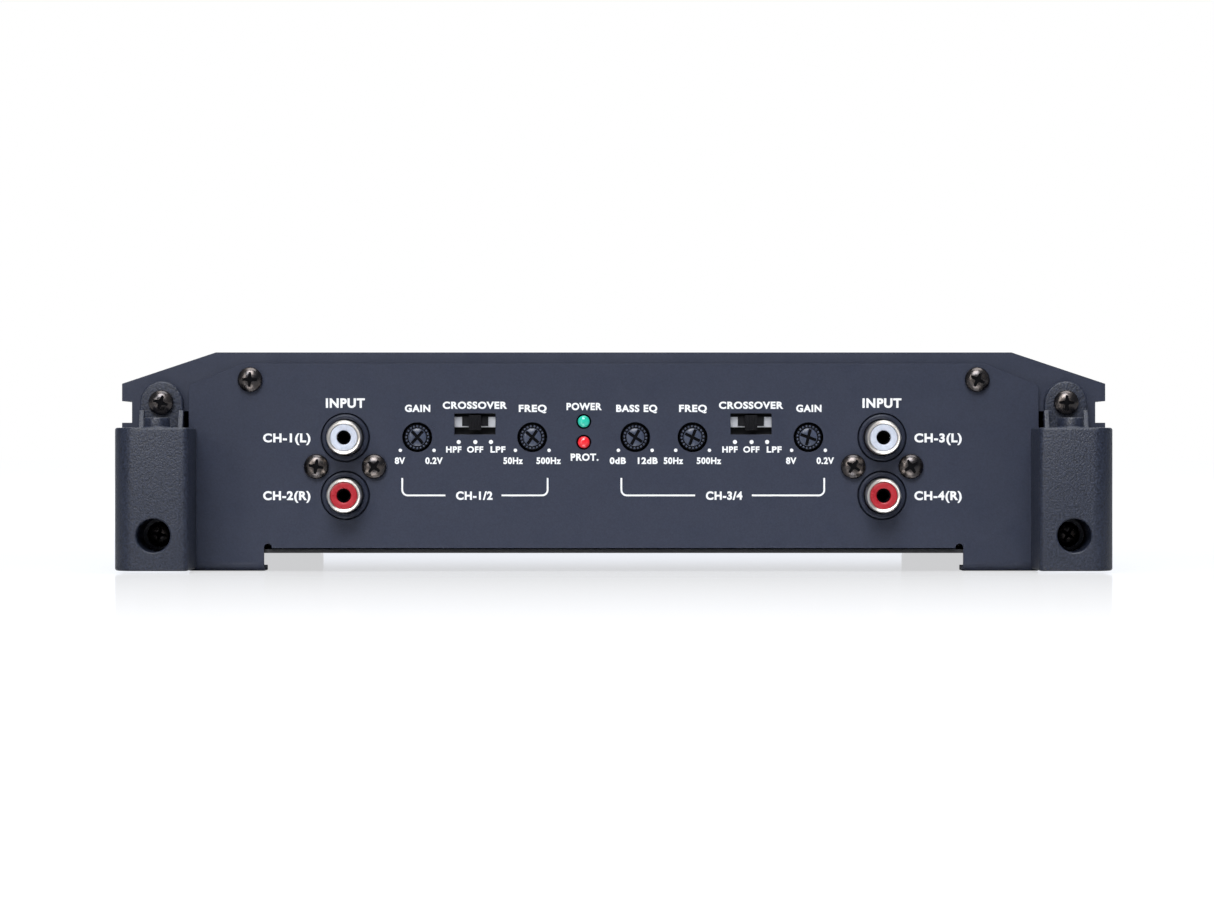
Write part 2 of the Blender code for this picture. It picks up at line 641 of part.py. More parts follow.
# ---------------------------------------------------------------- feet and screws
def foot():
    """The front right foot: a hollow moulding with an ear, a driver hole and a mounting hole."""
    inner = PANEL_HALF_WIDTH - FOOT_LAP
    outer = BODY_HALF_WIDTH
    lap = PANEL_HALF_WIDTH + 2 * GAP
    front_inner = inner + FOOT_FRONT_INSET
    front_outer = front_inner + FOOT_FRONT_WIDTH
    corner_x = front_outer + FOOT_CORNER_OUT * (outer - front_outer)
    small = FOOT_INNER_ROUND * FOOT_FRONT_INSET
    plan = [
        (lap, -PANEL_BACK),
        (lap, -PANEL_FACE - GAP),
        (inner, -PANEL_FACE - GAP),
        (inner, -FOOT_FACE + FOOT_FRONT_INSET),
        (inner + small, -FOOT_FACE + small),
        (front_inner, -FOOT_FACE),
        (front_outer, -FOOT_FACE),
        (corner_x, -FOOT_FACE + FOOT_CORNER_BACK * FOOT_CHAMFER_DEPTH),
        (outer, -FOOT_FACE + FOOT_CHAMFER_DEPTH),
        (outer, -PANEL_BACK),
    ]
    shell = extruded([plan], "XY", FOOT_UNDERSIDE, FOOT_TOP)

    ear = arc((EAR_X, EAR_HEIGHT), EAR_RADIUS, 0.0, pi, 12)
    ear += [(EAR_X - EAR_RADIUS, FOOT_TOP - FOOT_ROOF / 2)]
    ear += [(EAR_X + EAR_RADIUS, FOOT_TOP - FOOT_ROOF / 2)]
    ear_plate = extruded([ear], "XZ", -PANEL_BACK - EAR_THICKNESS, -PANEL_BACK)
    boss = extruded(
        [circle((EAR_X, -MOUNT_Y), MOUNT_BOSS_RADIUS, ROUND_STEPS)],
        "XY",
        FOOT_TOP - FOOT_ROOF / 2,
        FOOT_TOP + MOUNT_BOSS_RISE,
    )
    gusset_back = -PANEL_BACK - GAP
    gusset_foot = FOOT_TOP - FOOT_ROOF / 3
    gusset = [
        (gusset_back, gusset_foot),
        (gusset_back, FOOT_TOP + GUSSET_HEIGHT),
        (gusset_back - GUSSET_DEPTH / 2, FOOT_TOP + GUSSET_HEIGHT),
        (gusset_back - GUSSET_DEPTH, FOOT_TOP),
        (gusset_back - GUSSET_DEPTH, gusset_foot),
    ]
    edges = (EAR_X + EAR_RADIUS - GUSSET_THICKNESS + GAP, EAR_X - EAR_RADIUS - GAP)
    gussets = [extruded([gusset], "YZ", x, x + GUSSET_THICKNESS) for x in edges]
    body = joined(shell, ear_plate, boss, *gussets)

    pocket = box(
        (lap + FOOT_WALL, -MOUNT_Y, FOOT_UNDERSIDE - GAP),
        (outer - FOOT_WALL, -PANEL_BACK - FOOT_WALL, FOOT_TOP - FOOT_ROOF),
    )
    post = extruded(
        [circle((EAR_X, -MOUNT_Y), MOUNT_HOLE_RADIUS + TUBE_WALL)],
        "XY",
        FOOT_UNDERSIDE - 2 * GAP,
        FOOT_TOP,
    )
    tube = extruded(
        [circle((EAR_X, LOWER_SCREW_HEIGHT), DRIVER_HOLE_RADIUS + TUBE_WALL, ROUND_STEPS)],
        "XZ",
        -FOOT_FACE,
        -PANEL_BACK,
    )
    body = cut(body, cut(pocket, post, tube))
    mount_hole = extruded(
        [circle((EAR_X, -MOUNT_Y), MOUNT_HOLE_RADIUS)],
        "XY",
        FOOT_UNDERSIDE - GAP,
        FOOT_TOP + MOUNT_BOSS_RISE + GAP,
    )
    driver_hole = extruded(
        [circle((EAR_X, LOWER_SCREW_HEIGHT), DRIVER_HOLE_RADIUS, ROUND_STEPS)],
        "XZ",
        -FOOT_FACE - GAP,
        -PANEL_BACK - DRIVER_HOLE_FLOOR,
    )
    bores = [
        extruded([circle((EAR_X, z), BORE_RADIUS)], "XZ", -FOOT_FACE, -PANEL_BACK + GAP)
        for z in (EAR_HEIGHT, LOWER_SCREW_HEIGHT)
    ]
    return cut(body, mount_hole, driver_hole, *bores)


def screw(length):
    """A pan-head screw whose head rests on Y = 0, its shank reaching towards +Y."""
    rim = SCREW_HEAD_HEIGHT * SCREW_RIM_SHARE
    dome = [(SCREW_HEAD_RADIUS * cos(a), rim + (SCREW_HEAD_HEIGHT - rim) * sin(a))
            for a in (0.0, pi / 4)]
    profile = [(0.0, SCREW_HEAD_HEIGHT), *reversed(dome), (SCREW_HEAD_RADIUS, 0.0)]
    profile += [(SCREW_SHANK_RADIUS, 0.0), (SCREW_SHANK_RADIUS, -length), (0.0, -length)]
    bars = crossed_bars(RECESS_LENGTH, RECESS_WIDTH, 0.0, RECESS_DEPTH)
    face = Matrix.Translation((0, -SCREW_HEAD_HEIGHT, 0))
    return cut(turned(profile), *[placed(bar, face) for bar in bars])


# ---------------------------------------------------------------- jacks and controls
def rca_block():
    """The moulded body behind a pair of jacks, with a round bezel for each."""
    top = RCA_HEIGHTS[0] + RCA_BLOCK_TOP_MARGIN
    back = -PANEL_BACK + RCA_BLOCK_DEPTH
    front = -PANEL_BACK + GAP
    block = box((-RCA_BLOCK_HALF_WIDTH, front, ON_BOARD), (RCA_BLOCK_HALF_WIDTH, back, top))
    bezels = [
        extruded(
            [circle((0, z), RCA_BEZEL_RADIUS, ROUND_STEPS)],
            "XZ",
            -PANEL_FACE - RCA_BEZEL_RISE,
            front + GAP,
        )
        for z in RCA_HEIGHTS
    ]
    bores = [
        extruded(
            [circle((0, z), RCA_SHELL_RADIUS + BORE_GAP, ROUND_STEPS)],
            "XZ",
            -PANEL_FACE - RCA_BEZEL_RISE - GAP,
            -PANEL_FACE + RCA_SHELL_DEPTH + GAP,
        )
        for z in RCA_HEIGHTS
    ]
    for side in (-1, 1):
        at = (side * RCA_SCREW_PITCH / 2, RCA_SCREW_HEIGHT)
        bores.append(
            extruded([circle(at, BORE_RADIUS)], "XZ", front - GAP, front + RCA_SCREW_BORE_DEPTH)
        )
    return cut(joined(block, *bezels), *bores)


def rca_shell():
    """The outer metal barrel of one jack, centred on Y's zero at the panel's face."""
    inner = RCA_SHELL_RADIUS - RCA_SHELL_WALL
    lip = RCA_SHELL_WALL / 2
    profile = [
        (RCA_SHELL_RADIUS, -RCA_SHELL_DEPTH),
        (RCA_SHELL_RADIUS, RCA_SHELL_RISE - lip),
        (RCA_SHELL_RADIUS - lip, RCA_SHELL_RISE),
        (inner, RCA_SHELL_RISE - lip),
        (inner, -RCA_SHELL_DEPTH),
    ]
    return turned(profile, ROUND_STEPS, closed=True)


def rca_insert():
    """The coloured insulator inside one jack, with the hole for the plug's pin."""
    radius = RCA_SHELL_RADIUS - RCA_SHELL_WALL - BORE_GAP
    face = RCA_SHELL_RISE - RCA_INSERT_SET_BACK
    profile = [
        (0.0, face - RCA_PIN_HOLE_DEPTH),
        (RCA_PIN_HOLE_RADIUS, face - RCA_PIN_HOLE_DEPTH),
        (RCA_PIN_HOLE_RADIUS, face - RCA_INSERT_CHAMFER),
        (RCA_PIN_HOLE_RADIUS + RCA_INSERT_CHAMFER, face),
        (radius, face),
        (radius, -RCA_SHELL_DEPTH),
        (0.0, -RCA_SHELL_DEPTH),
    ]
    return turned(profile, ROUND_STEPS)


def knob():
    """A trimmer's adjuster: a toothed disc with a crossed driver slot, and its spindle."""
    teeth = []
    for step in range(2 * KNOB_TEETH):
        angle = 2 * pi * step / (2 * KNOB_TEETH)
        radius = KNOB_RADIUS - (KNOB_TOOTH_DEPTH if step % 2 else 0.0)
        teeth.append((radius * cos(angle), radius * sin(angle)))
    disc = extruded([teeth], "XZ", 0.0, KNOB_LENGTH)
    stub_end = KNOB_LENGTH + KNOB_STUB_LENGTH
    stub = extruded([circle((0, 0), KNOB_STUB_RADIUS)], "XZ", KNOB_LENGTH - GAP, stub_end)
    bars = crossed_bars(KNOB_SLOT_LENGTH, KNOB_SLOT_WIDTH, KNOB_SLOT_ANGLE, KNOB_SLOT_DEPTH)
    return cut(joined(disc, stub), *bars)


def pot_body():
    """The square case of a trimmer, bored for its adjuster's spindle."""
    outlines = [
        rectangle(-POT_BODY_HALF, POT_BODY_HALF, -POT_BODY_HALF, POT_BODY_HALF),
        circle((0, 0), KNOB_STUB_RADIUS + MOVING_GAP),
    ]
    return extruded(outlines, "XZ", -POT_FACE, -POT_BACK)


def switch_body():
    """The case of a slide switch, open towards the panel for the slider's carrier."""
    half_width = SWITCH_CAVITY_HALF_WIDTH + SWITCH_WALL
    half_height = SWITCH_CAVITY_HALF_HEIGHT + SWITCH_WALL
    floor = -SWITCH_FACE + SWITCH_CAVITY_DEPTH
    case = box((-half_width, -SWITCH_FACE, -half_height), (half_width, floor + SWITCH_FLOOR, half_height))
    cavity = box(
        (-SWITCH_CAVITY_HALF_WIDTH, -SWITCH_FACE - GAP, -SWITCH_CAVITY_HALF_HEIGHT),
        (SWITCH_CAVITY_HALF_WIDTH, floor, SWITCH_CAVITY_HALF_HEIGHT),
    )
    return cut(case, cavity)


def slider():
    """A slide switch's moving part: the carrier inside, and the knob through the panel."""
    carrier = box(
        (-CARRIER_HALF_WIDTH, -CARRIER_FACE, -CARRIER_HALF_HEIGHT),
        (CARRIER_HALF_WIDTH, -CARRIER_FACE + CARRIER_DEPTH, CARRIER_HALF_HEIGHT),
    )
    grip = box(
        (-SLIDER_HALF_WIDTH, -PANEL_FACE - SLIDER_RISE, -SLIDER_HALF_HEIGHT),
        (SLIDER_HALF_WIDTH, -CARRIER_FACE + CARRIER_DEPTH / 2, SLIDER_HALF_HEIGHT),
    )
    ribs = []
    for step in (-1, 0, 1):
        x = step * SLIDER_HALF_WIDTH * SLIDER_RIB_SPREAD
        ribs.append(
            box(
                (x - GAP / 2, -PANEL_FACE - SLIDER_RISE - GAP, -SLIDER_HALF_HEIGHT - GAP),
                (x + GAP / 2, -PANEL_FACE - SLIDER_RISE + GAP, SLIDER_HALF_HEIGHT + GAP),
            )
        )
    return cut(joined(carrier, grip), *ribs)


def led():
    """An indicator: a domed lens through the panel, on a spacer that stands on its board."""
    tip = PANEL_FACE + LED_RISE
    dome = [(LED_RADIUS * sin(a), tip - LED_RADIUS * LED_DOME * (1 - cos(a))) for a in
            (0.0, pi / 6, pi / 3, pi / 2)]
    flange = PANEL_BACK - LED_FLANGE_SET_BACK
    profile = [*dome, (LED_RADIUS, flange), (LED_FLANGE_RADIUS, flange)]
    profile += [(LED_FLANGE_RADIUS, CONTROL_BOARD_FACE + GAP), (0.0, CONTROL_BOARD_FACE + GAP)]
    return turned(profile)


# ---------------------------------------------------------------- inside
def circuit_board():
    """The main board, with four holes for its stand-offs."""
    half_width = INNER_WALL_X - BOARD_SIDE_INSET
    half_length = BODY_END - BOARD_END_INSET
    outlines = [rectangle(-half_width, half_width, -half_length, half_length)]
    side, end = half_width - BOARD_HOLE_SIDE_INSET, half_length - BOARD_HOLE_END_INSET
    for x in (-side, side):
        for y in (-end, end):
            outlines.append(circle((x, y), BOARD_HOLE_RADIUS))
    return extruded(outlines, "XY", BOARD_UNDERSIDE, BOARD_TOP)


def control_board():
    """The upright board that the trimmers, switches and lights stand on."""
    back = CONTROL_BOARD_FACE - BOARD_THICKNESS
    return box(
        (-CONTROL_BOARD_HALF_WIDTH, -CONTROL_BOARD_FACE, ON_BOARD),
        (CONTROL_BOARD_HALF_WIDTH, -back, ROOF - CONTROL_BOARD_HEADROOM),
    )


def transformer():
    """The ring-shaped supply transformer."""
    bulge = (TOROID_RADIUS - TOROID_HOLE_RADIUS) / 2
    middle = (TOROID_RADIUS + TOROID_HOLE_RADIUS) / 2
    profile = []
    for step in range(TOROID_SIDES):
        angle = 2 * pi * step / TOROID_SIDES
        squared = abs(cos(angle)) ** TOROID_SQUARENESS * (1 if cos(angle) > 0 else -1)
        raised = abs(sin(angle)) ** TOROID_SQUARENESS * (1 if sin(angle) > 0 else -1)
        profile.append((middle + bulge * squared, TOROID_HEIGHT / 2 * raised))
    ring = turned(profile, ROUND_STEPS, closed=True)
    upright = Matrix.Rotation(-pi / 2, 4, "X")
    lift = Matrix.Translation((*TOROID_PLACE, ON_BOARD + TOROID_HEIGHT / 2))
    return placed(ring, lift @ upright)


def capacitor():
    """The storage capacitor: a can with a rolled groove near its foot."""
    height = ROOF - CAPACITOR_HEADROOM - ON_BOARD
    groove = height * CAPACITOR_GROOVE_SHARE
    waist = CAPACITOR_RADIUS - CAPACITOR_EDGE
    profile = [
        (0.0, height),
        (waist, height),
        (CAPACITOR_RADIUS, height - CAPACITOR_EDGE),
        (CAPACITOR_RADIUS, groove + CAPACITOR_GROOVE_RISE),
        (waist, groove),
        (CAPACITOR_RADIUS, groove - CAPACITOR_GROOVE_RISE),
        (CAPACITOR_RADIUS, 0.0),
        (0.0, 0.0),
    ]
    upright = Matrix.Rotation(-pi / 2, 4, "X")
    lift = Matrix.Translation((*CAPACITOR_PLACE, ON_BOARD))
    return placed(turned(profile, ROUND_STEPS), lift @ upright)


def transistor_clamp():
    """The bar that presses the right-hand row of power transistors to the heatsink."""
    outer = INNER_WALL_X - TRANSISTOR_THICKNESS
    low = ON_BOARD + CLAMP_FOOT
    section = [
        (outer, low),
        (outer, low + CLAMP_HEIGHT),
        (outer - CLAMP_THICKNESS / 2, low + CLAMP_HEIGHT),
        (outer - CLAMP_THICKNESS / 2, low + CLAMP_HEIGHT - CLAMP_THICKNESS),
        (outer - CLAMP_THICKNESS, low + CLAMP_HEIGHT - CLAMP_THICKNESS),
        (outer - CLAMP_THICKNESS, low),
    ]
    return extruded([section], "XZ", -CLAMP_LENGTH / 2, CLAMP_LENGTH / 2)


# ---------------------------------------------------------------- rear connections
def power_half_width():
    """Half of the power block's width, from its ways and walls."""
    return ((POWER_WAYS - 1) * POWER_WAY_PITCH + POWER_WAY_WIDTH) / 2 + TERMINAL_WALL


def speaker_half_width():
    """Half of the speaker block's width, from its ways and walls."""
    return ((SPEAKER_WAYS - 1) * SPEAKER_WAY_PITCH + SPEAKER_WAY_WIDTH) / 2 + TERMINAL_WALL


def rear_row():
    """Each rear block's centre and half width: side by side, the row centred on X."""
    halves = {
        "speaker": speaker_half_width(),
        "fuse": FUSE_HALF_WIDTH + FUSE_HOLDER_WALL,
        "power": power_half_width(),
    }
    edge = -sum(halves.values()) - TERMINAL_SPACING * (len(halves) - 1) / 2
    row = {}
    for name, half in halves.items():
        row[name] = (edge + half, half)
        edge += 2 * half + TERMINAL_SPACING
    return row


def terminal_case(half_width):
    """A block of terminals before its ways are cut, centred on X."""
    front = PANEL_BACK - TERMINAL_DEPTH
    face = PANEL_FACE + TERMINAL_RISE
    return box((-half_width, front, TERMINAL_BASE), (half_width, face, TERMINAL_TOP))


def power_block():
    """The supply terminals: a wire entry and a screw well for each way."""
    face = PANEL_FACE + TERMINAL_RISE
    middle = (TERMINAL_BASE + TERMINAL_TOP) / 2
    cutters = []
    for way in range(POWER_WAYS):
        x = (way - (POWER_WAYS - 1) / 2) * POWER_WAY_PITCH
        half, rise = POWER_WAY_WIDTH / 2, POWER_WAY_HEIGHT / 2
        cutters.append(
            box((x - half, face - POWER_WAY_DEPTH, middle - rise), (x + half, face + GAP, middle + rise))
        )
        well = circle((x, face - TERMINAL_RISE / 2), POWER_SCREW_HOLE_RADIUS)
        cutters.append(extruded([well], "XY", middle, TERMINAL_TOP + GAP))
    return cut(terminal_case(power_half_width()), *cutters)


def speaker_block():
    """The speaker terminals: a row of open ways with a barrier between each two."""
    face = PANEL_FACE + TERMINAL_RISE
    cutters = []
    for way in range(SPEAKER_WAYS):
        x = (way - (SPEAKER_WAYS - 1) / 2) * SPEAKER_WAY_PITCH
        half = SPEAKER_WAY_WIDTH / 2
        cutters.append(
            box(
                (x - half, face - SPEAKER_WAY_DEPTH, TERMINAL_BASE + SPEAKER_SHELF),
                (x + half, face + GAP, TERMINAL_TOP + GAP),
            )
        )
    return cut(terminal_case(speaker_half_width()), *cutters)


def fuse_section():
    """Where the fuse sits: its middle height and the face of its holder."""
    return (TERMINAL_BASE + TERMINAL_TOP) / 2, PANEL_FACE + TERMINAL_RISE


def fuse_holder():
    """The socket for the blade fuse."""
    middle, face = fuse_section()
    seat_width = FUSE_HALF_WIDTH + MOVING_GAP
    seat_height = FUSE_HALF_HEIGHT + MOVING_GAP
    seat = face - FUSE_SEAT_DEPTH - MOVING_GAP
    cutters = [box((-seat_width, seat, middle - seat_height), (seat_width, face + GAP, middle + seat_height))]
    for side in (-1, 1):
        x = side * FUSE_BLADE_SPREAD
        half = FUSE_BLADE_WIDTH / 2 + MOVING_GAP
        rise = FUSE_BLADE_THICKNESS / 2 + MOVING_GAP
        end = seat - FUSE_BLADE_LENGTH - MOVING_GAP
        cutters.append(box((x - half, end, middle - rise), (x + half, seat + GAP, middle + rise)))
    return cut(terminal_case(FUSE_HALF_WIDTH + FUSE_HOLDER_WALL), *cutters)


def fuse():
    """A blade fuse: its moulded body with a thinner grip, and two flat blades."""
    middle, face = fuse_section()
    base = face - FUSE_SEAT_DEPTH
    grip_from = base + FUSE_BODY_LENGTH - FUSE_GRIP_LENGTH
    grip_half = FUSE_HALF_HEIGHT * FUSE_GRIP_SHARE
    body = box(
        (-FUSE_HALF_WIDTH, base, middle - FUSE_HALF_HEIGHT),
        (FUSE_HALF_WIDTH, grip_from, middle + FUSE_HALF_HEIGHT),
    )
    grip = box(
        (-FUSE_HALF_WIDTH, grip_from - GAP, middle - grip_half),
        (FUSE_HALF_WIDTH, base + FUSE_BODY_LENGTH, middle + grip_half),
    )
    blades = []
    for side in (-1, 1):
        x = side * FUSE_BLADE_SPREAD
        low = (x - FUSE_BLADE_WIDTH / 2, base - FUSE_BLADE_LENGTH, middle - FUSE_BLADE_THICKNESS / 2)
        high = (x + FUSE_BLADE_WIDTH / 2, base + GAP, middle + FUSE_BLADE_THICKNESS / 2)
        blades.append(box(low, high))
    return joined(body, grip, *blades)


# ---------------------------------------------------------------- assembly
def add_casing(finish):
    """The shells that everything else is fastened to."""
    add("heatsink", heatsink(), finish["painted_metal"], sharp=radians(15))
    add("front_panel", front_panel(), finish["painted_metal"])
    add("rear_panel", rear_panel(), finish["painted_metal"])
    add("bottom_cover", cover(), finish["black_steel"])


def add_feet(finish):
    """Four feet and the two screws in each; opposite corners are the same moulding."""
    mirror = Matrix.Diagonal((-1, 1, 1, 1))
    right = foot()
    left = placed(right.copy(), mirror)
    corners = {
        "front_right": (right, 1, 0.0),
        "front_left": (left, -1, 0.0),
        "rear_left": (right.copy(), 1, pi),
        "rear_right": (left.copy(), -1, pi),
    }
    ear_face = -PANEL_BACK - EAR_THICKNESS - GAP
    hole_floor = -PANEL_BACK - DRIVER_HOLE_FLOOR - GAP
    for corner, (mesh, side, turn) in corners.items():
        add(f"foot_{corner}", mesh, finish["foot_plastic"], turn=turn)
        ends = 1 if turn == 0.0 else -1
        places = {
            "ear_screw": (ear_face, EAR_HEIGHT, SCREW_LENGTH),
            "foot_screw": (hole_floor, LOWER_SCREW_HEIGHT, FOOT_SCREW_LENGTH),
        }
        for kind, (y, z, length) in places.items():
            place = (ends * side * EAR_X, ends * y, z)
            add(f"{kind}_{corner}", screw(length), finish["screw_steel"], place, turn)


def add_panel_screws(finish):
    """One screw near each top corner of both end panels."""
    for end, turn, ends in (("front", 0.0, 1), ("rear", pi, -1)):
        for side_name, side in (("left", -1), ("right", 1)):
            place = (side * PANEL_SCREW_X, -ends * (PANEL_FACE + GAP), PANEL_SCREW_HEIGHT)
            add(f"{end}_panel_screw_{side_name}", screw(SCREW_LENGTH), finish["screw_steel"], place, turn)


def add_jacks(finish):
    """Two blocks of two phono jacks, their barrels, inserts and screws."""
    colours = ("white_plastic", "red_plastic")
    channel = 1
    for side_name, side in (("left", -1), ("right", 1)):
        x = side * RCA_X
        add(f"rca_block_{side_name}", rca_block(), finish["black_plastic"], (x, 0, 0))
        for height, colour in zip(RCA_HEIGHTS, colours):
            place = (x, -PANEL_FACE, height)
            add(f"rca_shell_{channel}", rca_shell(), finish["nickel"], place)
            add(f"rca_insert_{channel}", rca_insert(), finish[colour], place)
            channel += 1
        for edge_name, edge in (("outer", side), ("inner", -side)):
            place = (x + edge * RCA_SCREW_PITCH / 2, -PANEL_FACE - GAP, RCA_SCREW_HEIGHT)
            add(f"rca_screw_{side_name}_{edge_name}", screw(SCREW_LENGTH), finish["screw_steel"], place)


def add_controls(finish):
    """Trimmers, slide switches and lights, the moving ones on an empty at their axis."""
    for name, x in POT_X.items():
        add(f"{name}_pot", pot_body(), finish["black_plastic"], (x, 0, POT_HEIGHT))
        axle = joint(f"{name}_axis", (x, -KNOB_FACE, POT_HEIGHT))
        add(f"{name}_knob", knob(), finish["black_plastic"], axle=axle)
    for name, x in SWITCH_X.items():
        add(f"{name}_switch", switch_body(), finish["nickel"], (x, 0, SWITCH_HEIGHT))
        track = joint(f"{name}_track", (x, 0, SWITCH_HEIGHT))
        add(f"{name}_slider", slider(), finish["black_plastic"], axle=track)
    for name, lens in (("power", "green_lens"), ("protect", "red_lens")):
        add(f"{name}_led", led(), finish[lens], (LED_X, 0, LED_HEIGHT[name]))


def add_inside(finish):
    """The boards and the large parts on them."""
    add("circuit_board", circuit_board(), finish["board"])
    add("control_board", control_board(), finish["board"])
    add("power_transformer", transformer(), finish["ferrite"])
    add("storage_capacitor", capacitor(), finish["capacitor_sleeve"])
    clamp = transistor_clamp()
    mirror = Matrix.Diagonal((-1, 1, 1, 1))
    add("transistor_clamp_left", placed(clamp.copy(), mirror), finish["aluminium"])
    add("transistor_clamp_right", clamp, finish["aluminium"])


def add_connections(finish):
    """The blocks that come out through the rear panel, and the fuse."""
    row = rear_row()
    power_x, speaker_x, fuse_x = (row[name][0] for name in ("power", "speaker", "fuse"))
    add("power_terminal_block", power_block(), finish["black_plastic"], (power_x, 0, 0))
    add("speaker_terminal_block", speaker_block(), finish["black_plastic"], (speaker_x, 0, 0))
    add("fuse_holder", fuse_holder(), finish["black_plastic"], (fuse_x, 0, 0))
    track = joint("fuse_track", (fuse_x, 0, 0))
    add("blade_fuse", fuse(), finish["fuse_plastic"], axle=track)


def build():
    """Clears the scene and makes the whole amplifier."""
    for old in list(bpy.data.objects):
        bpy.data.objects.remove(old)
    finish = materials()
    add_casing(finish)
    add_feet(finish)
    add_panel_screws(finish)
    add_jacks(finish)
    add_controls(finish)
    add_inside(finish)
    add_connections(finish)


build()
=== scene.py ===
"""The looks of the four-channel car amplifier: fine surfaces, small parts, legends and finishes.

+Z up, the control panel facing -Y. Shapes are worked out in millimetres and piece() brings them to
metres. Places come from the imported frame's own boxes.
"""

from math import cos, pi, radians, sin

import bmesh
import bpy
from mathutils import Matrix, Vector


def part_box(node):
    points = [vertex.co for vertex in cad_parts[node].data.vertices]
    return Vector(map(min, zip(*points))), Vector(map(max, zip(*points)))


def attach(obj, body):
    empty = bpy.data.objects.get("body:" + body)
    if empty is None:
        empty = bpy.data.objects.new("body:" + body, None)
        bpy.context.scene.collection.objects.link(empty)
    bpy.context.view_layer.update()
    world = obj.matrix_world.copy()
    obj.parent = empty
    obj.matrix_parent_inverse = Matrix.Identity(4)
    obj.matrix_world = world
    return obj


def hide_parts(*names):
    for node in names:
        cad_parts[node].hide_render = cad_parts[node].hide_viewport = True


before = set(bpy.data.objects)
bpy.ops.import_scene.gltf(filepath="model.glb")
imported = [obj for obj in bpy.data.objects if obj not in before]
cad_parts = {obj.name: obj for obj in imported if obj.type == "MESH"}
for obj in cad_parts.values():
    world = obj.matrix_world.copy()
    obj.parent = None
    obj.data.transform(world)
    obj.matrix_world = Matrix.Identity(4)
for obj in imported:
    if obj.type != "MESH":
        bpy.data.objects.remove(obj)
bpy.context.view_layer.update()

MM = 0.001
CHASSIS = "chassis"
ROUND = 64  # sides of a large round piece
FINE_ROUND = 40  # sides of a small one


# ---------------------------------------------------------------- places, read from the frame
def box_of(node):
    """A CAD node's box, low and high corner."""
    return [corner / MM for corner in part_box(node)]


def centre(node):
    """The middle of a CAD node's box."""
    low, high = box_of(node)
    return (low + high) / 2


FRONT_LOW, FRONT_HIGH = box_of("front_panel")
REAR_HIGH = box_of("rear_panel")[1]
PANEL_SHEET = 1.2
PANEL_FACE = -FRONT_LOW.y  # distances out from the middle, at either end
PANEL_BACK = PANEL_FACE - PANEL_SHEET
COVER_LOW, COVER_HIGH = box_of("bottom_cover")
KNOBS = ("gain_12", "freq_12", "bass_eq", "freq_34", "gain_34")
SWITCHES = ("crossover_12", "crossover_34")
JACKS = (1, 2, 3, 4)
ON_BOARD = box_of("control_board")[0].z  # the seat of the parts on the main board
CORNERS = ("front_left", "front_right", "rear_left", "rear_right")


# ---------------------------------------------------------------- materials
def add(tree, kind, inputs=None, **properties):
    """A shader node; an input takes a value, a socket or a node's first output."""
    made = tree.nodes.new("ShaderNode" + kind)
    for name, value in properties.items():
        setattr(made, name, value)
    for socket, value in (inputs or {}).items():
        if isinstance(value, bpy.types.Node):
            value = value.outputs[0]
        if isinstance(value, bpy.types.NodeSocket):
            tree.links.new(value, made.inputs[socket])
        else:
            made.inputs[socket].default_value = value
    return made


def shaded(colour, factor):
    """A colour made lighter or darker."""
    return tuple(min(1.0, c * factor) for c in colour)


PATTERN_SPAN = (0.3, 0.7)  # the part of a noise's range that a pattern spreads over
SPECULAR = "Specular IOR Level"


def finish(name, colour, roughness, metallic=0.0, tint=None, rough=None, bumps=(), sockets=None):
    """A Principled material; every pattern is noise of a grain in mm, a detail and a stretch.

    tint is a pattern and the dark and light colours it runs between, or factors on the colour.
    rough is a pattern and two roughnesses. Each bump is a pattern, a depth in mm and a strength.
    """
    material = bpy.data.materials.new(name)
    material.use_nodes = True
    tree = material.node_tree
    shader = tree.nodes["Principled BSDF"]
    place = add(tree, "TexCoord").outputs["Object"]
    plain = {"Base Color": (*colour, 1.0), "Roughness": roughness, "Metallic": metallic}
    for socket, value in {**plain, **(sockets or {})}.items():
        shader.inputs[socket].default_value = value

    def noise(grain, detail=3.0, stretch=(1.0, 1.0, 1.0)):
        scale = [1 / (grain * MM * s) for s in stretch]
        mapped = add(tree, "Mapping", {"Vector": place, "Scale": scale})
        return add(tree, "TexNoise", {"Vector": mapped, "Scale": 1.0, "Detail": detail})

    if tint:
        ramp = add(tree, "ValToRGB", {"Fac": noise(*tint[0])})
        for element, position, end in zip(ramp.color_ramp.elements, PATTERN_SPAN, tint[1:]):
            element.position = position
            element.color = (*(end if isinstance(end, tuple) else shaded(colour, end)), 1.0)
        tree.links.new(ramp.outputs["Color"], shader.inputs["Base Color"])
    if rough:
        ends = zip(("From Min", "From Max", "To Min", "To Max"), (*PATTERN_SPAN, *rough[1:]))
        spread = add(tree, "MapRange", {"Value": noise(*rough[0]), **dict(ends)})
        tree.links.new(spread.outputs["Result"], shader.inputs["Roughness"])
    relief = None
    for pattern, depth, strength in bumps:
        inputs = {"Height": noise(*pattern), "Distance": depth * MM, "Strength": strength}
        if relief:
            inputs["Normal"] = relief
        relief = add(tree, "Bump", inputs)
    if relief:
        tree.links.new(relief.outputs["Normal"], shader.inputs["Normal"])
    return material


def moulded(name, roughness=0.42, colour=(0.006, 0.006, 0.008)):
    """Smooth dark plastic with a faint texture."""
    fine = (0.25, 2.0)
    return finish(name, colour, roughness, tint=(fine, 0.8, 1.4),
                  rough=((2.5,), roughness - 0.06, roughness + 0.08), bumps=[(fine, 0.008, 0.5)],
                  sockets={SPECULAR: 0.24})


